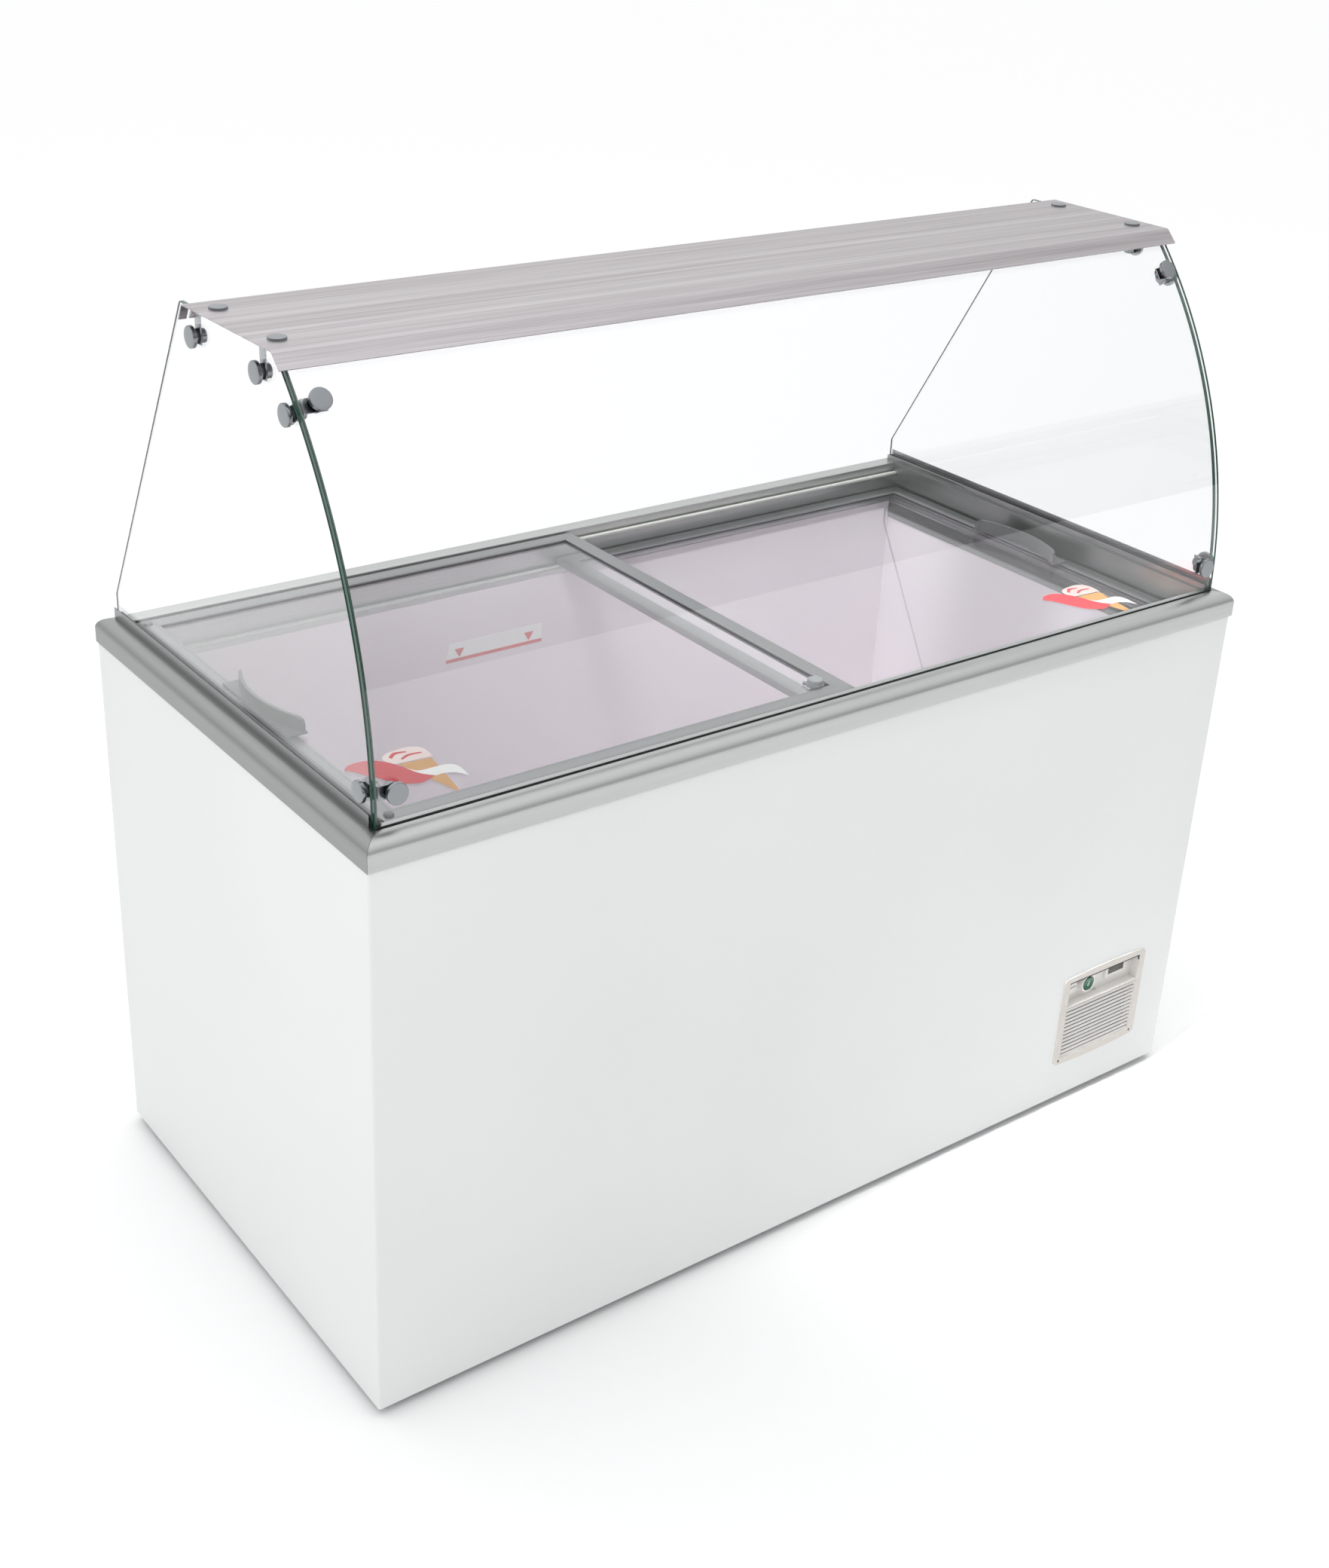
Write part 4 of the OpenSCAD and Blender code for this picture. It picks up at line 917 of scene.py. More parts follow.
@dataclass
class Tracks:
    """Mill finish extrusions that the lids run on, and the U channels of the side glasses, with a dark strip of painted
    shade on each end wall of the liner.
    """

    edge: float = 0.5 * MM
    shade_strip_high: float = 26 * MM
    collar_sheet: float = 0.8 * MM
    shade_strip_off: float = 1.2 * MM
    shade_strip_short: float = 2 * MM

    def collar(self, end: End) -> bpy.types.Object:
        """Builds the dark brushed strip at the top of one end wall of the liner, painted shade where the end rail
        shades the wall.
        """
        low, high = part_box(end.node("end_rail"))
        face = low.x if end is End.RIGHT else high.x
        near, far = self.shade_strip_off, self.shade_strip_off + self.collar_sheet
        start, stop = sorted((face - end.value * near, face - end.value * far))
        foot = Vector((start, low.y + self.shade_strip_short, low.z - self.shade_strip_high))
        strip = slab(foot, Vector((stop, high.y - self.shade_strip_short, low.z)))
        return hand_over(piece_from(end.node("liner_collar"), strip, END_WALL_SHADE), "cabinet")

    def build(self) -> list[bpy.types.Object]:
        """Builds the tracks, end rails and channels with broken edges, and the liner's strips of painted shade."""
        for end in End:
            self.collar(end)
        # Front and rear tracks take the painted-lighter finish, end rails and channels the painted-darker one.
        finishes = {
            "lid_track_front": TRACK_LIT_X,
            "lid_track_rear": TRACK_LIT_X,
            "end_rail_left": TRACK_SHADED_Y,
            "end_rail_right": TRACK_SHADED_Y,
            "glass_channel_left": TRACK_SHADED_Y,
            "glass_channel_right": TRACK_SHADED_Y,
        }
        return [
            hand_over(softened_copy(node, finish, self.edge), "cabinet", node, slot="anodised_track")
            for node, finish in finishes.items()
        ]


# ---------------------------------------------------------------- lids


@dataclass
class Lid:
    """A flat glass lid in a mitred satin aluminium frame, with a moulded grip at its outer end."""

    end: End
    bar: float = 22 * MM
    rounding: float = 1.2 * MM
    slot_deep: float = 8 * MM
    lip: float = 3 * MM
    glass: float = 4 * MM
    line_at: float = 17.5 * MM
    line: float = 0.5 * MM
    mitre_gap: float = 0.12 * MM
    grip_edge: float = 1.0 * MM
    bead_tuck: float = 0.3 * MM
    bead: Point = (1.3 * MM, 0.25 * MM)

    def name(self, part: str) -> str:
        """Returns the name of one of this lid's parts."""
        return f"{self.end.name.lower()}_lid{part}"

    def section(self, thick: float) -> list[Point]:
        """Returns the bar's section, (inwards, up) from its outer top corner."""
        r, bar, mouth = self.rounding, self.bar, self.bar - self.slot_deep
        return [
            (0, -thick),
            *reversed(arc((r, -r), r, 90, 180, 5)),
            (self.line_at - self.line, 0), (self.line_at, -self.line), (self.line_at + self.line, 0),
            *reversed(arc((bar - r, -r), r, 0, 90, 5)),
            (bar, -self.lip), (mouth, -self.lip), (mouth, -self.lip - self.glass), (bar, -self.lip - self.glass),
            (bar, -thick),
        ]

    def ring(self, section: Sequence[Point], along_x: Finish, along_y: Finish, name: str) -> bpy.types.Object:
        """Builds four mitred bars of one section round the lid.

        Args:
            section: (inwards, up) points.
            along_x: finish of the long bars.
            along_y: finish of the end bars.
            name: the piece's name.

        Returns:
            The joined ring.
        """
        low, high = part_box(self.name("_frame"))
        mid, half = (low + high) / 2, (high - low) / 2
        top = high.z
        runs = [
            (half.x, along_x, lambda t, u, z: (mid.x + t, low.y + u, top + z)),
            (half.x, along_x, lambda t, u, z: (mid.x + t, high.y - u, top + z)),
            (half.y, along_y, lambda t, u, z: (low.x + u, mid.y + t, top + z)),
            (half.y, along_y, lambda t, u, z: (high.x - u, mid.y + t, top + z)),
        ]
        bars = [
            smooth(piece_from(f"{name}_{i}", mitred_bar(section, length, place, self.mitre_gap), finish))
            for i, (length, finish, place) in enumerate(runs)
        ]
        return joined(name, bars)

    def frame_bars(self) -> bpy.types.Object:
        """Builds the frame."""
        low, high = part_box(self.name("_frame"))
        bars = self.ring(self.section(high.z - low.z), LID_X, LID_Y, self.name("_bars"))
        return hand_over(bars, self.name(""), self.name("_frame"), slot="lid_frame")

    def seal(self) -> bpy.types.Object:
        """Builds the thin rubber bead between the glass and the frame."""
        start, foot = self.bar - self.bead_tuck, -self.lip
        end, top = start + self.bead[0], foot + self.bead[1]
        bead = [(start, foot), (start, top), (end, top), (end, foot)]
        return hand_over(self.ring(bead, RUBBER, RUBBER, self.name("_seal")), self.name(""), slot="black_rubber")

    def grip(self) -> bpy.types.Object:
        """Builds the moulded grip: a foot and an upright arc-shaped wall."""
        node = self.name("_handle")
        return hand_over(
            softened_copy(node, GRIP, self.grip_edge, f"{self.name('')}_grip"), self.name(""), node, slot="grip_plastic"
        )

    def build(self) -> None:
        """Builds the lid's frame, seal, glass finish, grip and, on the upper lid, its small parts."""
        self.frame_bars()
        self.seal()
        self.grip()
        dress_node(self.name("_glass"), LID_GLASS)
        if self.end is End.LEFT:
            buffers = softened_copy("left_lid_buffers", SILICONE, 0.2 * MM, "left_lid_bumpers")
            hand_over(buffers, "left_lid", "left_lid_buffers", slot="clear_silicone")
            knob = softened_copy("lid_lock_knob", GRIP, 0.6 * MM, "lock_knob_cap")
            hand_over(knob, "lock_knob", "lid_lock_knob", slot="grip_plastic")


def dress_node(node: str, finish: Finish) -> None:
    """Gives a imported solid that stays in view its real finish."""
    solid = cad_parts[node]
    if not solid.material_slots:
        solid.data.materials.append(finish.material())
    for place in solid.material_slots:
        place.material = finish.material()
    log.info("%s kept, %s", node, finish.name)


# ---------------------------------------------------------------- canopy


@dataclass
class Canopy:
    """Curved front glass and two side glasses, clamped together, with a folded shelf on top."""

    radius: float = 671 * MM
    glass: float = 6 * MM
    arris: float = 0.7 * MM
    bore: float = 5 * MM
    shelf_sheet: float = 1.5 * MM
    shelf_fold: float = 3.5 * MM
    lip_front: tuple[float, float] = (23 * MM, 45.0)
    lip_rear: tuple[float, float] = (21 * MM, 62.0)
    shelf_flat: Point = (-150 * MM, 60 * MM)
    slot_half: float = 3.5 * MM
    stud: float = 3 * MM
    stud_long: float = 14 * MM
    cap: float = 12.5 * MM
    cap_high: float = 7 * MM
    neck: float = 9 * MM
    washer: float = 1 * MM
    plate: float = 2 * MM
    nut_high: float = 6 * MM
    hollow_gap: float = 0.08 * MM
    bolts: list[Matrix] = field(default_factory=list)
    front_bolts: list[bool] = field(default_factory=list)

    def centre(self) -> Vector:
        """Returns the middle of the front glass's curve, at x = 0."""
        return Vector((0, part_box("front_glass")[0].y + self.radius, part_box("rim_front")[1].z))

    def find_bolts(self) -> None:
        """Finds where each clamp bolt's cap sits and which way it points."""
        side = max(abs(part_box("side_glass_left")[0].x), abs(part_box("side_glass_left")[1].x)) + self.washer
        seat = self.radius + self.washer
        middle_of_curve = self.centre()
        for group in islands("clamp_bolts"):
            low = Vector([min(p[i] for p in group) for i in range(3)])
            high = Vector([max(p[i] for p in group) for i in range(3)])
            mean = (low + high) / 2
            on_side = abs(mean.x) > side - 2 * self.neck
            if on_side:
                axis = Vector((math.copysign(1, mean.x), 0, 0))
                at = Vector((math.copysign(side, mean.x), mean.y, mean.z))
            else:
                arm = Vector((0, mean.y - middle_of_curve.y, mean.z - middle_of_curve.z))
                axis = arm.normalized()
                at = Vector((mean.x, middle_of_curve.y, middle_of_curve.z)) + axis * seat
            self.bolts.append(turned_to(axis, at))
            self.front_bolts.append(not on_side)

    def bores(self, front: bool) -> list[bpy.types.Object]:
        """Returns cutters for the bolt holes of the front glass, or of both side glasses."""
        reach = 12 * MM
        hole = [(0, -reach), (self.bore, -reach), (self.bore, reach), (0, reach)]
        return [
            piece_from("bore_cutter", lathe(hole, 32, place))
            for place, is_front in zip(self.bolts, self.front_bolts)
            if is_front == front
        ]

    def front(self) -> bpy.types.Object:
        """Builds the curved pane: clear broad faces and green polished edges."""
        low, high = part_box("front_glass")
        centre = self.centre()
        end = math.degrees(math.asin((high.z - centre.z) / self.radius))
        steps = 90
        outer = [(low.y, low.z)] + [
            (centre.y - self.radius * math.cos(a), centre.z + self.radius * math.sin(a))
            for a in (math.radians(end * k / steps) for k in range(steps + 1))
        ]
        inside = self.radius - self.glass
        inner = [
            (centre.y - inside * math.cos(a), centre.z + inside * math.sin(a))
            for a in (math.radians(end * k / steps) for k in range(steps, -1, -1))
        ] + [(low.y + self.glass, low.z)]
        outline = outer + inner
        clamp = max(abs(place.translation.x) for place, front in zip(self.bolts, self.front_bolts) if front)
        keep = self.cap
        stations = [low.x, -clamp - keep, -clamp + keep, clamp - keep, clamp + keep, high.x]
        shape = bmesh.new()
        rings = [[shape.verts.new((x, y, z)) for y, z in outline] for x in stations]
        count = len(outline)
        edges = {len(outer) - 1, count - 1}
        for near, far in zip(rings, rings[1:]):
            for i in range(count):
                j = (i + 1) % count
                face = shape.faces.new((near[i], near[j], far[j], far[i]))
                face.material_index = 1 if i in edges else 0
        for ring in (rings[0], rings[-1]):
            for k in range(len(outer) - 1):
                face = shape.faces.new((ring[k], ring[k + 1], ring[count - 2 - k], ring[count - 1 - k]))
                face.material_index = 1
        bmesh.ops.recalc_face_normals(shape, faces=shape.faces)
        pane = piece_from("front_glass_pane", shape, CANOPY_GLASS, GLASS_EDGE)
        cut(self.arrised(pane), *self.bores(True))
        return hand_over(smooth(pane), "cabinet", "front_glass", slot="canopy_glass")

    def arrised(self, pane: bpy.types.Object) -> bpy.types.Object:
        """Takes the sharp edges off a pane with a narrow polished arris."""
        bevel = pane.modifiers.new("arris", "BEVEL")
        bevel.width, bevel.segments, bevel.material = self.arris, 1, 1
        bevel.limit_method, bevel.angle_limit = "ANGLE", math.radians(40)
        return settle(pane)

    def side(self, end: End) -> bpy.types.Object:
        """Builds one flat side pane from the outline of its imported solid.

        Args:
            end: which end of the freezer.

        Returns:
            The pane, handed over.
        """
        node = end.node("side_glass")
        low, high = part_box(node)
        outline = self.side_outline(node, low, high)
        shape = prism(outline, low.x, high.x, Grain.X)
        for face in shape.faces:
            face.material_index = 0 if abs(face.normal.x) > 0.5 else 1
        pane = piece_from(f"{node}_pane", shape, CANOPY_GLASS, GLASS_EDGE)
        cut(self.arrised(pane), *self.bores(False))
        return hand_over(smooth(pane), "cabinet", node, slot="canopy_glass")

    def side_outline(self, node: str, low: Vector, high: Vector) -> list[Point]:
        """Returns the (y, z) outline of a side pane, with a finely stepped front curve.

        Args:
            node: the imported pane.
            low: its lowest corner.
            high: its highest corner.

        Returns:
            The outline.
        """
        centre = self.centre()
        gap = 2.5 * MM
        curve = self.radius - self.glass - gap
        points = [v.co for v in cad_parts[node].data.vertices]
        top_back = max(p.y for p in points if p.z > high.z - 1 * MM)
        kink = max(p.z for p in points if p.y > high.y - 0.1 * MM)
        start = math.asin((high.z - centre.z) / curve)
        steps = 80
        bend = [
            (centre.y - curve * math.cos(a), centre.z + curve * math.sin(a))
            for a in (start * (1 - k / steps) for k in range(steps + 1))
        ]
        return [(high.y, low.z), (high.y, kink), (top_back, high.z), *bend, (low.y, low.z)]

    def shelf(self) -> bpy.types.Object:
        """Builds the brushed shelf: one sheet with two folded lips, drilled and slotted."""
        low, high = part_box("top_shelf")
        front, back = self.shelf_flat
        rise = [math.radians(180 + self.lip_front[1]), math.radians(-self.lip_rear[1])]
        path = [
            Vector((front, high.z)) + self.lip_front[0] * Vector((math.cos(rise[0]), math.sin(rise[0]))),
            Vector((front, high.z)),
            Vector((back, high.z)),
            Vector((back, high.z)) + self.lip_rear[0] * Vector((math.cos(rise[1]), math.sin(rise[1]))),
        ]
        sheet = prism(folded(path, self.shelf_sheet, self.shelf_fold), low.x, high.x, Grain.X)
        shelf = piece_from("canopy_shelf", sheet, SHELF)
        cutters = []
        for at in self.shelf_screw_places(high.z):
            drill, reach = self.stud + 0.3 * MM, 8 * MM
            hole = [(0, -reach), (drill, -reach), (drill, reach), (0, reach)]
            cutters.append(piece_from("hole_cutter", lathe(hole, 24, at)))
        glass_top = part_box("side_glass_left")[1].z
        for end in End:
            lo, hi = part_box(end.node("side_glass"))
            x = (lo.x + hi.x) / 2
            start = Vector((x - self.slot_half, back, low.z - self.shelf_fold))
            stop = Vector((x + self.slot_half, high.y + self.shelf_fold, glass_top + 0.5 * MM))
            cutters.append(piece_from("slot_cutter", slab(start, stop)))
        cut(shelf, *cutters)
        return hand_over(soften(shelf, 0.35 * MM), "cabinet", "top_shelf", slot="brushed_shelf")

    def shelf_screw_places(self, top: float) -> list[Matrix]:
        """Returns where the shelf's screws stand."""
        means = [middle(group) for group in islands("shelf_screws")]
        return [Matrix.Translation(Vector((mean.x, mean.y, top))) for mean in means]

    def screws(self) -> bpy.types.Object:
        """Builds the four flat chromed screws in the shelf."""
        profile = [
            (0, -9 * MM), (self.stud, -9 * MM), (self.stud, 0), (10.5 * MM, 0), (10.5 * MM, 1.2 * MM),
            *arc((9.7 * MM, 1.8 * MM), 0.8 * MM, 0, 80, 4), (6 * MM, 3.05 * MM), (0, 3.2 * MM),
        ]
        places = self.shelf_screw_places(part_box("top_shelf")[1].z)
        return self.turned("shelf_screw_heads", profile, 48, places, "shelf_screws")

    def turned(
        self,
        name: str,
        profile: Sequence[Point],
        steps: int,
        places: Sequence[Matrix],
        node: str,
        finish: Finish = CHROME,
        slot: str = "chrome_clamp",
    ) -> bpy.types.Object:
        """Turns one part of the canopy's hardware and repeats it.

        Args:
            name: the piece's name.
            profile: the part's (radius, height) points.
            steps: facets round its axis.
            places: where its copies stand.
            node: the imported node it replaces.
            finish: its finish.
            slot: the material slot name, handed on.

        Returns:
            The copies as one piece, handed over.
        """
        template = smooth(piece_from(f"{name}_template", lathe(profile, steps)), 40)
        return hand_over(at_places(name, template, places, finish), "cabinet", node, slot=slot)

    def clamps(self) -> None:
        """Builds the caps, nuts and rubber washers of all clamps, and their plates."""
        cap = [
            (0, -self.stud_long), (self.stud, -self.stud_long), (self.stud, 0), (self.neck, 0), (self.neck, 1.6 * MM),
            (self.neck + 0.4 * MM, 1.8 * MM), (self.cap - 1 * MM, 1.8 * MM),
            *arc((self.cap - 0.8 * MM, 2.6 * MM), 0.8 * MM, -90, 0, 4),
            *arc((self.cap - 1.0 * MM, self.cap_high - 1.2 * MM), 1.0 * MM, 0, 75, 4),
            (self.cap - 3 * MM, self.cap_high - 0.1 * MM), (self.cap * 0.5, self.cap_high - 0.03 * MM),
            (0, self.cap_high),
        ]
        self.turned("clamp_caps", cap, 64, self.bolts, "clamp_bolts")
        depth = self.washer * 2 + self.glass + self.plate
        nut = [
            (0, 4 * MM), (self.stud + 0.1 * MM, 4 * MM), (self.stud + 0.1 * MM, 0), (7.6 * MM, 0), (8 * MM, 0.4 * MM),
            *arc((7.0 * MM, self.nut_high - 1 * MM), 1 * MM, 0, 90, 4), (0, self.nut_high),
        ]
        self.turned("clamp_round_nuts", nut, 40, self.sunk(depth, flipped=True), "clamp_nuts")
        ring = [(3.3 * MM, 0), (8.5 * MM, 0), (8.5 * MM, self.washer), (3.3 * MM, self.washer), (3.3 * MM, 0)]
        both_sides = self.sunk(self.washer) + self.sunk(2 * self.washer + self.glass)
        self.turned("clamp_rubber_washers", ring, 40, both_sides, "clamp_washers", RUBBER, "black_rubber")
        for node, edge in {"corner_brackets": 0.5, "shelf_hangers": 0.5, "shelf_nuts": 0.4}.items():
            hand_over(softened_copy(node, CHROME, edge * MM, f"{node}_plated"), "cabinet", node, slot="chrome_clamp")

    def sunk(self, depth: float, flipped: bool = False) -> list[Matrix]:
        """Returns the bolts' places, moved in from the caps' seats.

        Args:
            depth: how far below the cap's seat.
            flipped: whether the shape then points inwards.

        Returns:
            One matrix for each bolt.
        """
        found = []
        for place, front in zip(self.bolts, self.front_bolts):
            behind = depth > 2 * self.washer
            gap = self.hollow_gap if front and behind else 0.0
            moved = place @ Matrix.Translation((0, 0, -depth - gap))
            found.append(moved @ Matrix.Rotation(math.pi, 4, "X") if flipped else moved)
        return found

    def build(self) -> None:
        """Builds the whole canopy."""
        self.find_bolts()
        self.front()
        for end in End:
            self.side(end)
        self.shelf()
        self.screws()
        self.clamps()
        buffers = softened_copy("shelf_buffers", SILICONE, 0.4 * MM, "shelf_glass_buffers")
        hand_over(buffers, "cabinet", "shelf_buffers", slot="clear_silicone")


def folded(path: Sequence[Vector], sheet: float, radius: float, steps: int = 8) -> list[Point]:
    """Returns the outline of a bent sheet whose outer side follows a path of two folds.

    Args:
        path: the corners of the outer side, from one lip's end to the other's, turning clockwise.
        sheet: the sheet's thickness.
        radius: the outer radius of each fold.
        steps: facets in a fold.

    Returns:
        The closed outline.
    """
    outer, inner = [], []
    for i, point in enumerate(path):
        before = (point - path[i - 1]).normalized() if i else None
        after = (path[i + 1] - point).normalized() if i + 1 < len(path) else None
        if before is None or after is None:
            way = after if before is None else before
            inwards = Vector((way.y, -way.x))
            outer.append(tuple(point))
            inner.append(tuple(point + inwards * sheet))
            continue
        turn = before.angle(after)
        start = point - before * radius * math.tan(turn / 2)
        centre = start + Vector((before.y, -before.x)) * radius
        first = math.degrees(math.atan2(start.y - centre.y, start.x - centre.x))
        last = first - math.degrees(turn)
        outer += arc(tuple(centre), radius, first, last, steps)
        inner += arc(tuple(centre), radius - sheet, first, last, steps)
    return outer + inner[::-1]


# ---------------------------------------------------------------- control panel


@dataclass
class ControlPanel:
    """Moulded surround with a recessed tray of controls over a louvre of thick white slats."""

    slats: int = 13
    edge: float = 0.8 * MM
    front_band: float = 1.1 * MM
    louvre: Point = (148 * MM, 86 * MM)
    louvre_drop: float = 21 * MM
    louvre_back: float = 1 * MM
    tray_depth: float = 14.5 * MM
    slat: tuple[Point, ...] = ((2.6, 0), (2.4, 2.9), (2.1, 3.3), (1.75, 3.2), (0, 0.4), (0.3, 0))
    # Size and place of the painted shadow under the tray's top edge.
    shadow_line_at: Point = (73.8 * MM, 65.8 * MM)
    shadow_line_radius: float = 5 * MM
    shadow_line_drop: float = 9 * MM
    shadow_line_wide: float = 0.8 * MM
    shadow_line_extra: float = 1.6 * MM
    shadow_line_span: Point = (1.0 * MM, 2.6 * MM)
    digit: Point = (5.2 * MM, 9.6 * MM)
    stroke: float = 1.1 * MM

    def __post_init__(self) -> None:
        """Finds the panel's middle and front face."""
        low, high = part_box("control_bezel")
        self.middle = (low + high) / 2
        self.face = low.y

    def surround(self) -> bpy.types.Object:
        """Builds the moulding: a warm grey frame with a whiter recess."""
        bezel = softened_copy("control_bezel", BEZEL, self.edge, "panel_surround")
        bezel.data.materials.append(WHITE_ABS.material())
        half = self.louvre[0] / 2 + MM
        for face in bezel.data.polygons:
            if face.center.y > self.face + self.front_band and abs(face.center.x - self.middle.x) < half:
                face.material_index = 1
        return hand_over(bezel, "cabinet", "control_bezel", slot="bezel_plastic")

    def vent(self) -> None:
        """Builds the louvre: a ring round the opening, a row of slats and a charcoal sheet of painted shade behind
        them.
        """
        x, z = self.middle.x, self.middle.z - self.louvre_drop
        wide, high = self.louvre
        back = self.face + self.tray_depth
        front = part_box("vent_louvre")[0].y + 1 * MM
        half = Vector((wide / 2, 0, high / 2))
        ring = piece_from("louvre_surround", slab(Vector((x, front, z)) - half, Vector((x, back, z)) + half), WHITE_ABS)
        inset = Vector((2 * MM, -2 * MM, 1.5 * MM))
        room = slab(Vector((x, front, z)) - half + inset, Vector((x, back, z)) + half - inset)
        hole = piece_from("ring_cutter", room)
        hand_over(soften(cut(ring, hole), 0.3 * MM), "cabinet", "vent_louvre", slot="louvre_plastic")
        pitch = (high - 1 * MM) / self.slats
        first = z - high / 2 + 1 * MM + pitch / 2
        y = self.face + self.louvre_back
        foot = first - pitch / 2
        section = [(y + deep * MM, foot + up * MM) for deep, up in self.slat]
        slat = smooth(piece_from("slat_template", prism(section, x - wide / 2 + MM, x + wide / 2 - MM, Grain.X)), 20)
        row = in_a_row("louvre_slats", slat, self.slats, Vector((0, 0, pitch)), WHITE_ABS)
        hand_over(row, "cabinet", "vent_louvre", slot="louvre_plastic")
        # A charcoal sheet behind the slats darkens the gaps between them: painted shade of the compartment behind.
        low, top = Vector((x, back, z)) - half + inset, Vector((x, back, z)) + half - inset
        low.y, top.y = back - 2 * MM, back - 1 * MM
        hand_over(piece_from("louvre_filter", slab(low, top), PAINTED_SHADE), "cabinet")

    def seam(self) -> bpy.types.Object:
        """Builds a painted shadow: a dark strip under the top edge of the tray and round its corners, where the edge
        shades the tray.
        """
        half, top, radius = self.shadow_line_at[0], self.middle.z + self.shadow_line_at[1], self.shadow_line_radius
        left, right, foot = self.middle.x - half, self.middle.x + half, top - self.shadow_line_drop
        left_turn, right_turn = left + radius, right - radius
        outer = [(left, foot), *reversed(arc((left_turn, top - radius), radius, 90, 180, 6))]
        outer += [*reversed(arc((right_turn, top - radius), radius, 0, 90, 6)), (right, foot)]
        inside, under = radius - self.shadow_line_wide, top - radius - self.shadow_line_extra
        inner = [(right - self.shadow_line_wide, foot), *arc((right_turn, under), inside, 0, 90, 6)]
        inner += [*arc((left_turn, under), inside, 90, 180, 6), (left + self.shadow_line_wide, foot)]
        near, far = self.shadow_line_span
        shape = prism(outer + inner, self.face + near, self.face + far, Grain.Y)
        return hand_over(piece_from("tray_seam", shape, PAINTED_SHADE), "cabinet")

    def controls(self) -> None:
        """Builds the switch ring, rocker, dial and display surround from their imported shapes."""
        for node, finish, body, slot, edge in (
            ("switch_housing", WHITE_ABS, "cabinet", "louvre_plastic", 0.6),
            ("power_switch", GREEN_ABS, "rocker", "green_rocker", 0.5),
            ("thermostat_dial", WHITE_ABS, "dial", "louvre_plastic", 0.4),
            ("display_frame", WHITE_ABS, "cabinet", "louvre_plastic", 0.5),
        ):
            hand_over(softened_copy(node, finish, edge * MM, f"{node}_moulding"), body, node, slot=slot)
        dress_node("display_screen", LCD)

    def rocker_mark(self) -> bpy.types.Object:
        """Builds the small white ring and bar printed on the rocker."""
        low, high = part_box("power_switch")
        x, z = (low.x + high.x) / 2, (low.z + high.z) / 2
        y = low.y + 1.4 * MM
        ring = arc((x, z - 2.2 * MM), 2.0 * MM, 0, 360, 24)[:-1]
        hole = arc((x, z - 2.2 * MM), 1.3 * MM, 0, 360, 24)[:-1]
        mark = piece_from("mark_ring", prism(ring, y, y + MM, Grain.Y), WHITE_INK)
        cut(mark, piece_from("mark_cutter", prism(hole, y - MM, y + 2 * MM, Grain.Y)))
        corners = ((-0.4, -1.2), (0.4, -1.2), (2.6, 3.4), (1.8, 3.6))
        bar = [(x + across * MM, z + up * MM) for across, up in corners]
        stroke = piece_from("mark_bar", prism(bar, y, y + MM, Grain.Y), WHITE_INK)
        return hand_over(joined("rocker_mark", [mark, stroke]), "rocker")

    def digits(self, shown: str = "-18") -> bpy.types.Object:
        """Builds the display's seven-segment number.

        Args:
            shown: digits and minus signs.

        Returns:
            The number, handed over.
        """
        low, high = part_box("display_screen")
        wide, tall = self.digit
        x0 = (low.x + high.x) / 2 - wide * (len(shown) - 0.6) * 0.62
        z0 = (low.z + high.z) / 2 - tall / 2
        w = self.stroke
        bars = {
            "a": (0, tall - w, wide, tall), "g": (0, tall / 2 - w / 2, wide, tall / 2 + w / 2), "d": (0, 0, wide, w),
            "f": (0, tall / 2, w, tall), "b": (wide - w, tall / 2, wide, tall),
            "e": (0, 0, w, tall / 2), "c": (wide - w, 0, wide, tall / 2),
        }
        lit = {"-": "g", "1": "bc", "8": "abcdefg", "0": "abcdef"}
        gap = 0.15 * MM
        parts = []
        for place, sign in enumerate(shown):
            x = x0 + place * wide * 1.45
            for k, bar in enumerate(lit[sign]):
                left, bottom, right, top = bars[bar]
                outline = [
                    (x + left + gap, z0 + bottom + gap), (x + right - gap, z0 + bottom + gap),
                    (x + right - gap, z0 + top - gap), (x + left + gap, z0 + top - gap),
                ]
                shape = prism(outline, low.y - 0.08 * MM, low.y, Grain.Y)
                parts.append(piece_from(f"segment_{place}_{k}", shape, LCD_INK))
        return hand_over(joined("display_digits", parts), "cabinet")

    def screws(self) -> bpy.types.Object:
        """Builds the two blackened screws with a cross recess."""
        shank = 19 * MM
        profile = [
            (0, -shank), (1.6 * MM, -shank), (1.6 * MM, -2 * MM), (2.15 * MM, -1.6 * MM), (2.15 * MM, -0.4 * MM),
            (1.8 * MM, -0.05 * MM), (0, 0),
        ]
        template = piece_from("screw_template", lathe(profile, 24))
        long, short, deep = 1.2 * MM, 0.28 * MM, 0.9 * MM
        slots = [
            piece_from("recess_cutter", slab(Vector((-a, -b, -deep)), Vector((a, b, deep))))
            for a, b in ((long, short), (short, long))
        ]
        cut(template, *slots)
        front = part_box("bezel_screws")[0].y
        places = [
            turned_to(Vector((0, -1, 0)), Vector((middle(group).x, front, middle(group).z)))
            for group in islands("bezel_screws")
        ]
        row = at_places("panel_screws", smooth(template), places, BLACK_SCREW)
        return hand_over(row, "cabinet", "bezel_screws", slot="black_screw")

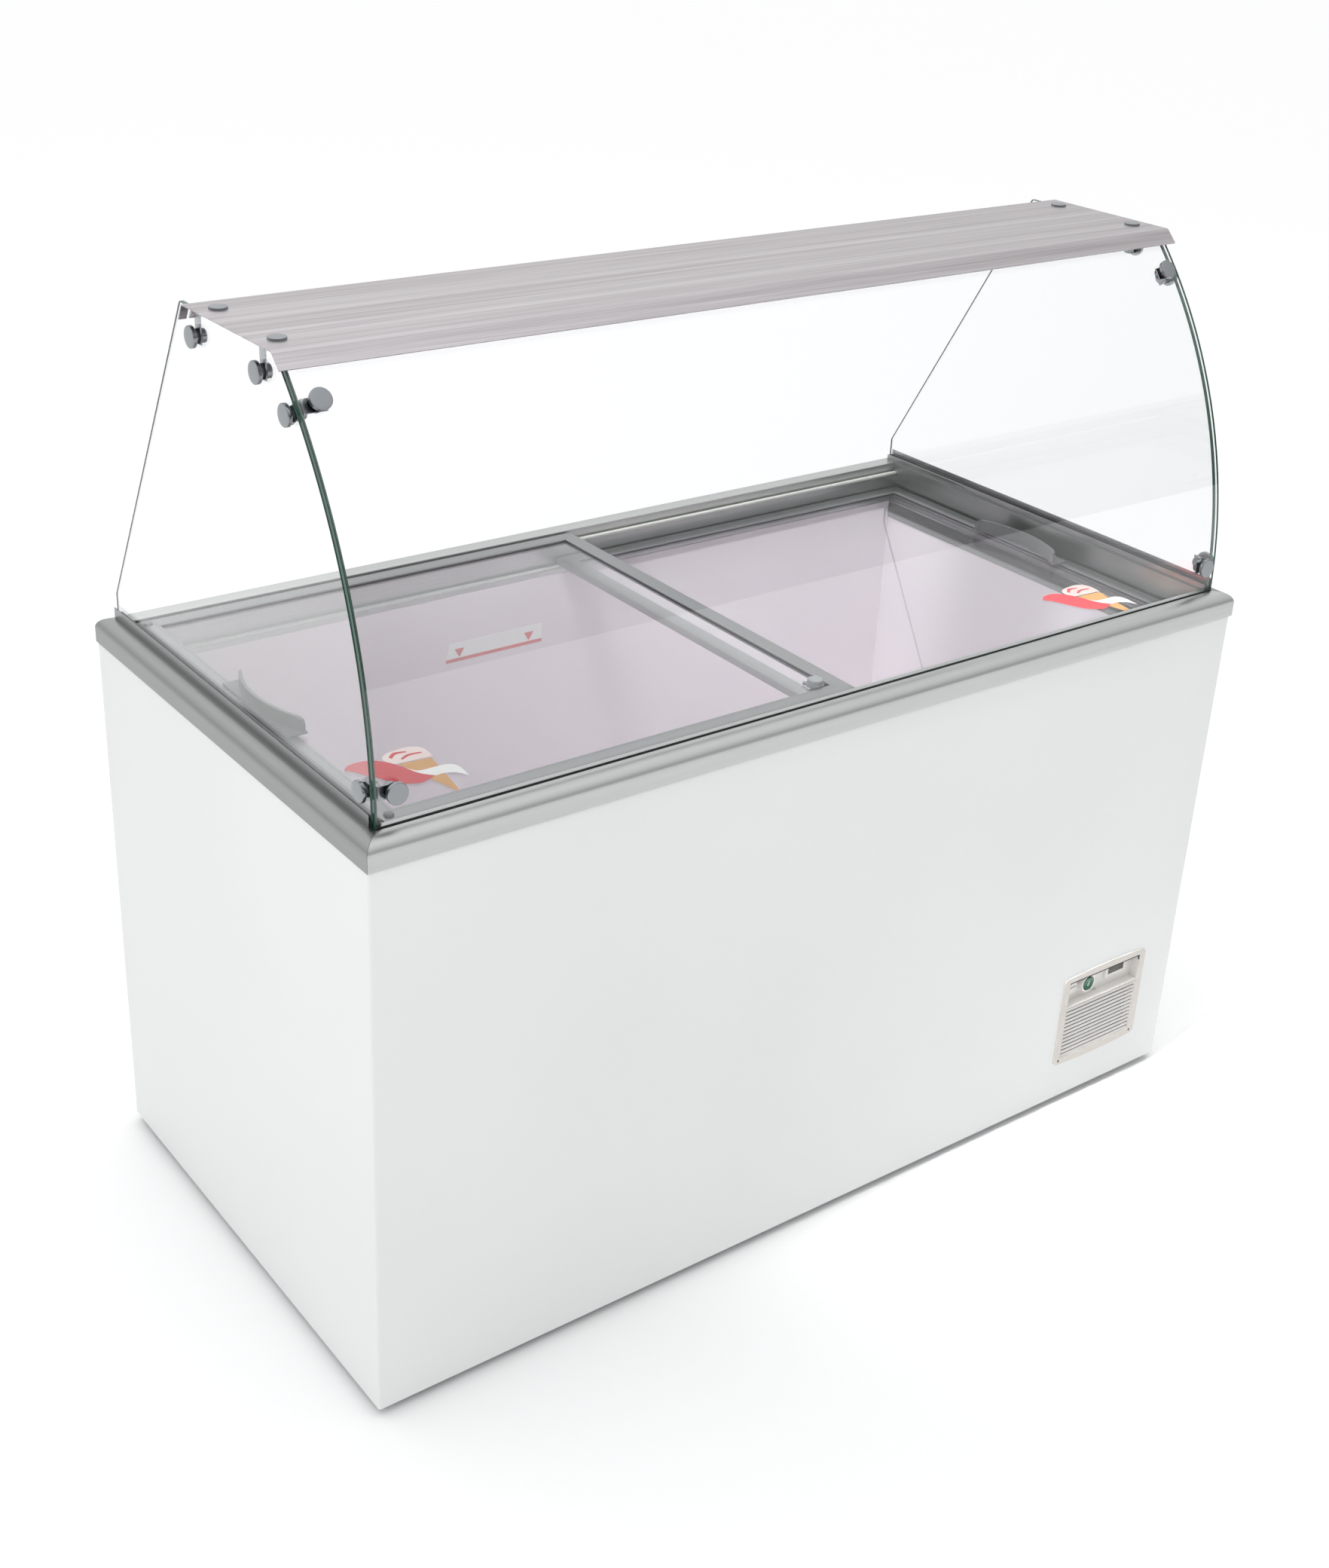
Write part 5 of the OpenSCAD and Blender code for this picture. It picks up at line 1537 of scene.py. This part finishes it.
    def symbol(self) -> bpy.types.Object:
        """Builds the small raised snow star on the ridge under the tray."""
        x, z = self.middle.x - 4 * MM, self.middle.z + 26 * MM
        y = self.face + 11.6 * MM
        long, half = 4 * MM, 0.45 * MM
        arms = []
        for k in range(3):
            turn = math.radians(60 * k)
            way, across = Vector((math.cos(turn), math.sin(turn))), Vector((-math.sin(turn), math.cos(turn)))
            corners = ((-1, -1), (1, -1), (1, 1), (-1, 1))
            outline = [tuple(Vector((x, z)) + way * a * long + across * b * half) for a, b in corners]
            arms.append(piece_from(f"arm_{k}", prism(outline, y, y + 0.4 * MM, Grain.Y), BEZEL))
        return hand_over(joined("tray_symbol", arms), "cabinet")

    def build(self) -> None:
        """Builds the whole panel."""
        self.surround()
        self.vent()
        self.seam()
        self.controls()
        self.rocker_mark()
        self.digits()
        self.screws()
        self.symbol()


# ---------------------------------------------------------------- labels


def eased(points: Sequence[Point], steps: int = 6) -> list[Point]:
    """Returns a smooth open curve through some points."""
    ends = [points[0], *points, points[-1]]
    found = []
    for a, b, c, d in zip(ends, ends[1:], ends[2:], ends[3:]):
        for k in range(steps):
            t = k / steps
            found.append(
                tuple(
                    0.5 * (2 * b[i] + (c[i] - a[i]) * t + (2 * a[i] - 5 * b[i] + 4 * c[i] - d[i]) * t**2
                           + (3 * b[i] - a[i] - 3 * c[i] + d[i]) * t**3)
                    for i in range(2)
                )
            )
    return [*found, points[-1]]


RIBBON_TOP = [(0, 0), (10, 8), (30, 8), (45, -6), (54, -24), (62, -46), (74, -60)]
RIBBON_FOOT = [(74, -60), (55, -67), (40, -62), (27, -50), (18, -32), (10, -14), (0, 0)]
TAIL_TOP = [(55, -26), (64, -40), (84, -42), (101, -44), (108, -56), (106, -79)]
TAIL_FOOT = [(106, -79), (98, -66), (84, -60), (74, -60), (62, -50), (55, -26)]
WAFER = [(54, -16), (93, -20), (79, -106), (77, -106)]
SCOOP = [(48, -14), (44, 2), (52, 12), (70, 16), (86, 15), (97, 4), (96, -18)]
SWIRLS = [
    ([(52, 3), (62, 11), (76, 8)], [(76, 5), (63, 6), (54, -1)]),
    ([(62, -6), (74, 0), (90, -2)], [(90, -5), (75, -4), (63, -9)]),
]


@dataclass
class Labels:
    """Thin printed vinyl: a load line on the liner and a ribbon with a cone on each lid's glass."""

    film: float = 0.1 * MM
    wall: float = 62 * MM
    strip: tuple[float, float, float, float] = (-0.205, 0.620, -0.046, 0.649)
    ribbon_at: dict[End, Point] = field(
        default_factory=lambda: {End.LEFT: (-0.609, -0.181), End.RIGHT: (0.493, -0.166)}
    )

    def load_line(self) -> bpy.types.Object:
        """Builds the white strip with its red line and two red arrowheads."""
        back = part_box("rear_panel")[1].y - self.wall
        left, bottom, right, top = self.strip
        card = [(left + 0.006, top), (left, bottom + 0.004), (left, bottom), (right, bottom), (right, top)]
        parts = [piece_from("strip_card", prism(card, back - self.film, back, Grain.Y), WHITE_INK)]
        line = [(left, bottom), (right, bottom), (right, bottom + 0.005), (left, bottom + 0.005)]
        parts.append(piece_from("strip_line", prism(line, back - 2 * self.film, back - self.film, Grain.Y), RED_INK))
        for x in (left + 0.022, right - 0.022):
            head = [(x - 0.008, bottom + 0.019), (x, bottom + 0.006), (x + 0.008, bottom + 0.019)]
            arrow = prism(head, back - 2 * self.film, back - self.film, Grain.Y)
            parts.append(piece_from("strip_arrow", arrow, RED_INK))
        return hand_over(joined("load_line_label", parts), "cabinet")

    def ribbon(self, end: End) -> bpy.types.Object:
        """Builds the ribbon and cone on one lid's glass.

        Args:
            end: which lid.

        Returns:
            The label, handed over.
        """
        x, y = self.ribbon_at[end]
        lid = f"{end.name.lower()}_lid"
        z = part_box(f"{lid}_glass")[1].z
        layers = [
            (WAFER, WAFER_INK, 0),
            (eased(SCOOP), CREAM_INK, 1),
            *((eased(there) + eased(back), RED_INK, 2) for there, back in SWIRLS),
            (eased(TAIL_TOP) + eased(TAIL_FOOT)[1:-1], WHITE_INK, 2),
            (eased(RIBBON_TOP) + eased(RIBBON_FOOT)[1:-1], RED_INK, 3),
        ]
        parts = []
        for outline, ink, layer in layers:
            moved = [(x + a * MM, y + b * MM) for a, b in outline]
            low = z + layer * self.film
            parts.append(piece_from(f"print_{len(parts)}", prism(moved, low, low + self.film), ink))
        return hand_over(joined(f"{lid}_label", parts), lid)

    def build(self) -> None:
        """Builds the three labels."""
        self.load_line()
        for end in End:
            self.ribbon(end)


# ---------------------------------------------------------------- machinery


@dataclass
class Machinery:
    """Everything else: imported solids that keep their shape, some with softened edges."""

    kept: dict[str, Finish] = field(
        default_factory=lambda: {
            "rear_panel": PAINT,
            "base_plate": ZINC,
            "insulation": FOAM,
            "inner_liner": LINER,
            "evaporator_coil": COPPER,
            "drain_pipe": WHITE_ABS,
            "rim_corner_keys": ZINC,
            "glide_strips": NYLON,
            "glass_gaskets": RUBBER,
            "condenser": DARK_STEEL,
            "fan_shroud": ZINC,
        }
    )
    softened: dict[str, tuple[str, Finish, float, str | None]] = field(
        default_factory=lambda: {
            "levelling_feet": ("cabinet", RUBBER, 0.6, "black_rubber"),
            "drain_plug": ("plug", BLUE_ABS, 0.8, "plug_plastic"),
            "power_inlet": ("cabinet", BLACK_PLASTIC, 0.6, "gland_plastic"),
            "rear_vent_grille": ("cabinet", PAINT, 0.5, "white_enamel"),
            "compressor": ("cabinet", ENAMEL, 1.0, "black_enamel"),
            "refrigerant_pipes": ("cabinet", COPPER, 0.3, "copper_tube"),
            "fan_motor": ("cabinet", DARK_STEEL, 0.8, "motor_black"),
            "fan_blades": ("fan", FAN_ALLOY, 0.3, None),
        }
    )

    def build(self) -> None:
        """Dresses the kept solids and softens the rest."""
        for node, finish in self.kept.items():
            dress_node(node, finish)
        for node, (body, finish, edge, slot) in self.softened.items():
            hand_over(softened_copy(node, finish, edge * MM), body, node, slot=slot)


# ---------------------------------------------------------------- studio


@dataclass
class Studio:
    """Plain pale floor, broad soft lamps and the camera."""

    floor_half: float = 30.0
    azimuth: float = -37.549
    elevation: float = 25.681
    roll: float = 2.737
    stand: tuple[float, float, float] = (-1.5512, -1.9619, 1.7894)
    lens: float = 46.92
    sensor: float = 36.0
    shift: Point = (0.0035, -0.035)
    sight: float = 200.0
    surround: str = "#F8F8F9"
    horizon: float = 0.28
    zenith: float = 1.30
    behind: float = 0.50

    def floor(self) -> None:
        """Lays the floor."""
        half = self.floor_half
        shape = bmesh.new()
        shape.faces.new([shape.verts.new((x * half, y * half, 0)) for x, y in ((-1, -1), (1, -1), (1, 1), (-1, 1))])
        floor = piece_from("studio_floor", shape, Finish("matt white floor", "#FEFEFE", roughness=0.9))

    def lamp(
        self, name: str, at: Vector, towards: Vector, size: Point, power: float, spread: float = 180.0
    ) -> None:
        """Hangs a soft rectangular lamp.

        Args:
            name: its name.
            at: its place.
            towards: the point it faces.
            size: its width and height.
            power: its power in watts.
            spread: the angle that its grid lets through, in degrees.
        """
        light = bpy.data.lights.new(name, "AREA")
        light.shape, light.size, light.size_y, light.energy = "RECTANGLE", *size, power
        light.spread = math.radians(spread)
        holder = bpy.data.objects.new(name, light)
        holder.location = at
        holder.rotation_euler = (at - towards).to_track_quat("Z", "Y").to_euler()
        holder.visible_glossy = False
        bpy.context.scene.collection.objects.link(holder)

    def sky(self) -> None:
        """Makes a smooth surround, dark at the horizon, bright overhead and brighter behind the freezer."""
        world = bpy.data.worlds.new("studio surround")
        world.use_nodes = True
        tree = world.node_tree
        tree.nodes.clear()
        way = add_node(tree, "ShaderNodeTexCoord").outputs["Generated"]
        parts = add_node(tree, "ShaderNodeSeparateXYZ", {0: way}).outputs
        ramp = add_node(tree, "ShaderNodeMapRange", {0: parts["Z"], 1: 0.0, 2: 1.0, 3: self.horizon, 4: self.zenith})
        behind = add_node(tree, "ShaderNodeMapRange", {0: parts["Y"], 1: 0.0, 2: 1.0, 3: 0.0, 4: self.behind})
        total = add_node(tree, "ShaderNodeMath", {0: ramp.outputs[0], 1: behind.outputs[0]}, operation="ADD")
        glow = add_node(tree, "ShaderNodeBackground", {"Color": linear(self.surround), "Strength": total.outputs[0]})
        add_node(tree, "ShaderNodeOutputWorld", {"Surface": glow.outputs[0]})
        bpy.context.scene.world = world

    def camera(self) -> None:
        """Sets the camera at its stand, turned by its three angles."""
        az, el, roll = (math.radians(a) for a in (self.azimuth, self.elevation, self.roll))
        back = Vector((math.sin(az) * math.cos(el), -math.cos(az) * math.cos(el), math.sin(el)))
        right = (-back).cross(Vector((0, 0, 1))).normalized()
        up = right.cross(-back)
        across = right * math.cos(roll) + up * math.sin(roll)
        upright = up * math.cos(roll) - right * math.sin(roll)
        data = bpy.data.cameras.new("stand camera")
        data.lens, data.sensor_width = self.lens, self.sensor
        data.shift_x, data.shift_y = self.shift
        data.clip_end = self.sight
        camera = bpy.data.objects.new("stand camera", data)
        turn = Matrix((across, upright, back)).transposed().to_4x4()
        camera.matrix_world = Matrix.Translation(Vector(self.stand)) @ turn
        bpy.context.scene.collection.objects.link(camera)
        bpy.context.scene.camera = camera

    def build(self) -> None:
        """Builds the studio."""
        self.floor()
        self.sky()
        self.camera()
        above_front = Vector((0, -0.35, 1.0))
        self.lamp("overhead softbox", Vector((0.3, 0.2, 4.2)), above_front, (4.5, 4.5), 20)
        self.lamp("front left softbox", Vector((-1.9, -1.2, 1.5)), Vector((-0.68, -0.35, 0.7)), (0.8, 0.8), 0.9, 70)
        self.lamp("tub softbox", Vector((-0.7, -0.3, 3.2)), Vector((0.5, -0.05, 0.2)), (0.6, 0.6), 3.2, 24)
        bpy.context.scene.view_settings.view_transform = "Standard"


def main() -> None:
    """Builds every piece in order."""
    logging.basicConfig(level=logging.INFO, format="%(name)s: %(message)s")
    Studio().build()
    Cabinet().skin()
    Rim().build()
    Tracks().build()
    for end in End:
        Lid(end).build()
    Canopy().build()
    ControlPanel().build()
    Labels().build()
    Machinery().build()
    bpy.context.view_layer.update()


if __name__ == "__main__":
    main()
